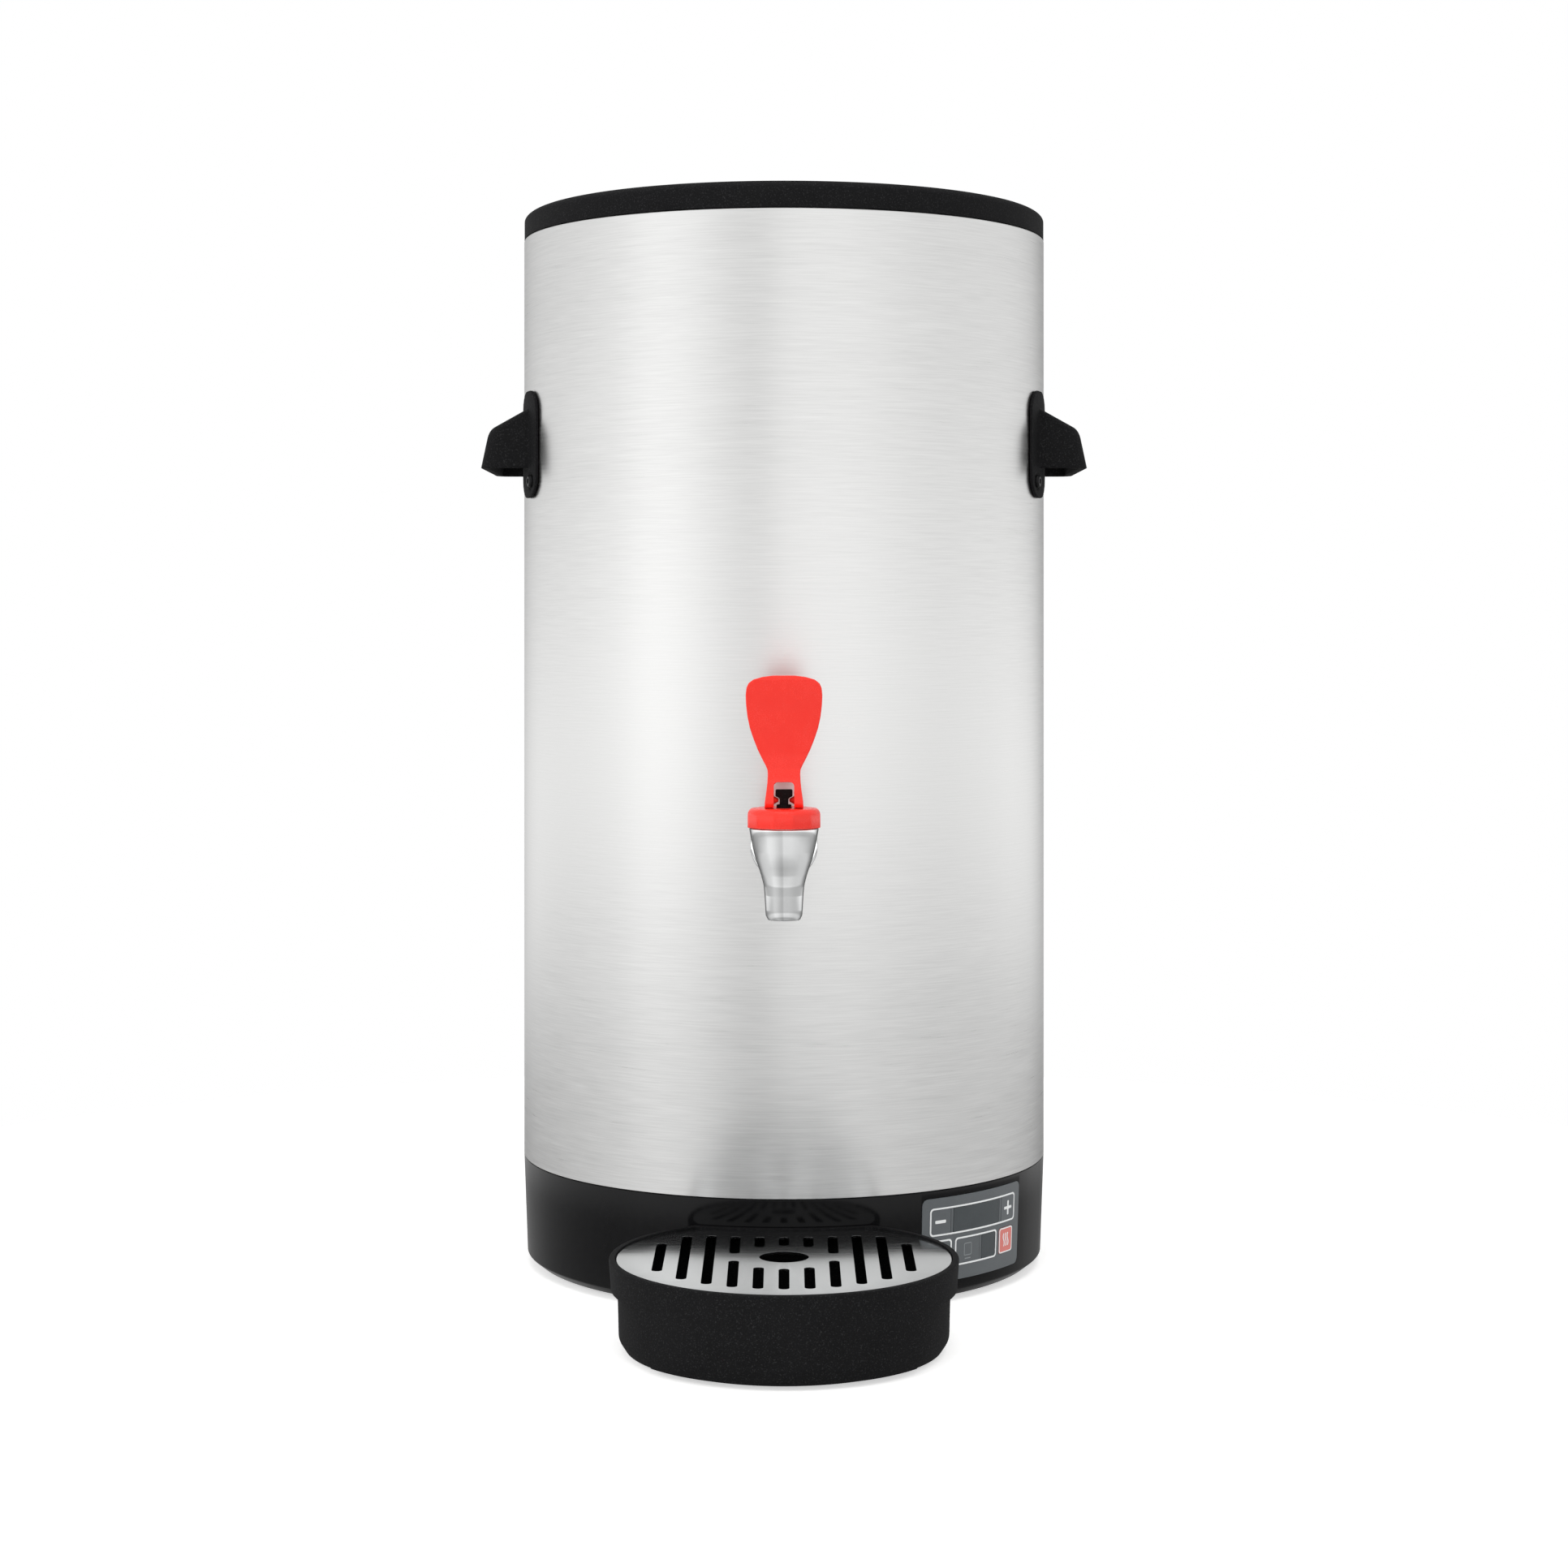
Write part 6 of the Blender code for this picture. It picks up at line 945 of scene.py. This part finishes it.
camera = bpy.data.objects.new("camera", bpy.data.cameras.new("camera"))
scene.collection.objects.link(camera)
camera.location = (0, -1.6043, 0.366)
camera.rotation_euler = (radians(90), 0, 0)
camera.data.lens, camera.data.sensor_width, camera.data.shift_y = 66.2, 36, -0.1026
scene.camera = camera

scene.view_settings.view_transform = "Standard"
scene.view_settings.look = "None"

clearSelection()
bpy.ops.mesh.primitive_circle_add(vertices=96, radius=0.75, fill_type="NGON", location=(0, 0, 0))
floor = bpy.context.object
floor.name = floor.data.name = "floor"
paper, paperTree, paperShader = newMaterial("paperBackdrop", Roughness=0.9, Specular_IOR_Level=0.1)
fibres = noise(paperTree, addNode(paperTree, "TexCoord").outputs["Object"], 2.0, scale=900.0)
wire(paperTree, paperShader, Base_Color=blended(paperTree, fibres, "#ecebea", "#f0f0ef"))
paperPath = addNode(paperTree, "LightPath")
# the camera's own rays get the share of white that the lit paper lacks
lack = worked(paperTree, "MULTIPLY", paperPath.outputs["Is Camera Ray"], 0.55)
white = addNode(paperTree, "Emission", {"Color": (1, 1, 1, 1), "Strength": lack})
paperSum = addNode(paperTree, "AddShader", {0: paperShader.outputs[0], 1: white.outputs[0]})
# metal sees through the paper to the studio's dim ground
paperSeen = addNode(paperTree, "MixShader", {0: paperPath.outputs["Is Glossy Ray"], 1: paperSum.outputs[0],
                                             2: addNode(paperTree, "BsdfTransparent").outputs[0]})
wire(paperTree, paperTree.nodes["Material Output"], Surface=paperSeen.outputs[0])
floor.data.materials.append(paper)

world = bpy.data.worlds.new("studio")
scene.world = world
world.use_nodes = True
air = world.node_tree
air.nodes.clear()
way = addNode(air, "SeparateXYZ", {"Vector": addNode(air, "TexCoord").outputs["Generated"]})
turn = worked(air, "ARCTAN2", way.outputs["X"], worked(air, "MULTIPLY", way.outputs["Y"], -1.0))
# how bright the studio's walls are, by degrees round the object from the camera's side, to the right
tones = [(-180, 0.38), (-165, 0.46), (-138, 0.76), (-98, 0.9), (-77, 1.0), (-60, 1.19), (-44, 1.14),
         (-30, 1.0), (-16, 0.86), (-7, 0.85), (-2, 1.05), (29, 1.05), (48, 0.97), (68, 0.89), (116, 0.87),
         (137, 0.74), (156, 0.38), (180, 0.31)]
# and the share of that by how far up the eye looks, from the dim ground (-1) over level (0) upwards
falls = [(-1.0, 0.42), (-0.7, 0.42), (-0.55, 0.72), (-0.4, 0.78), (-0.28, 0.52), (-0.19, 0.58), (-0.14, 1.46),
         (-0.05, 1.54), (0.04, 1.04), (0.2, 0.97), (1.0, 0.94)]


def toneRamp(source, low, high, stops):
    ramp = addNode(air, "ValToRGB", {"Fac": ranged(air, source, low, high)})
    elements = ramp.color_ramp.elements
    for number in range(len(stops)):
        stop = elements[number] if number < 2 else elements.new(0.999)
        stop.position = stops[number][0]
    for stop, (_, tone) in zip(elements, stops):
        stop.color = (tone, tone, tone, 1)
    return ramp.outputs["Color"]


def light(strength, colour=(1, 1, 1, 1)):
    return addNode(air, "Background", {"Color": colour, "Strength": strength}).outputs[0]


walls = toneRamp(turn, -pi, pi, [((azimuth + 180) / 360, tone) for azimuth, tone in tones])
ground = toneRamp(way.outputs["Z"], -1.0, 1.0, [((fall + 1) / 2, tone) for fall, tone in falls])
both = addNode(air, "Mix", {"data_type": "RGBA", "blend_type": "MULTIPLY", 0: 1.0, 6: walls, 7: ground})
path = addNode(air, "LightPath")
# the walls' tones for what is mirrored, white for what is seen past the object, else a soft light
shown = light(0.6)
for kind, lit in (("Glossy", light(1.0, both.outputs[2])), ("Transmission", light(1.0)),
                  ("Camera", light(1.0))):
    shown = addNode(air, "MixShader", {0: path.outputs[f"Is {kind} Ray"], 1: shown, 2: lit}).outputs[0]
addNode(air, "OutputWorld", {"Surface": shown})


def softLamp(name, azimuth, distance, height, width, tall, watts):
    data = bpy.data.lights.new(name, "AREA")
    data.shape, data.size, data.size_y, data.energy = "RECTANGLE", width, tall, watts
    lamp = bpy.data.objects.new(name, data)
    scene.collection.objects.link(lamp)
    turned = radians(azimuth)
    lamp.location = (distance * sin(turned), -distance * cos(turned), height)
    lamp.rotation_euler = (Vector((0, 0, 0.3)) - lamp.location).to_track_quat("-Z", "Y").to_euler()
    lamp.visible_glossy = False  # the metal mirrors the studio's walls, whose tones are set above
    return lamp


softLamp("keyLamp", -60, 2.3, 1.0, 0.9, 1.8, 19)
softLamp("fillLamp", 23, 2.5, 0.9, 0.5, 1.6, 8)
softLamp("topLamp", 10, 0.7, 2.4, 1.6, 1.6, 18)

print("scene made")
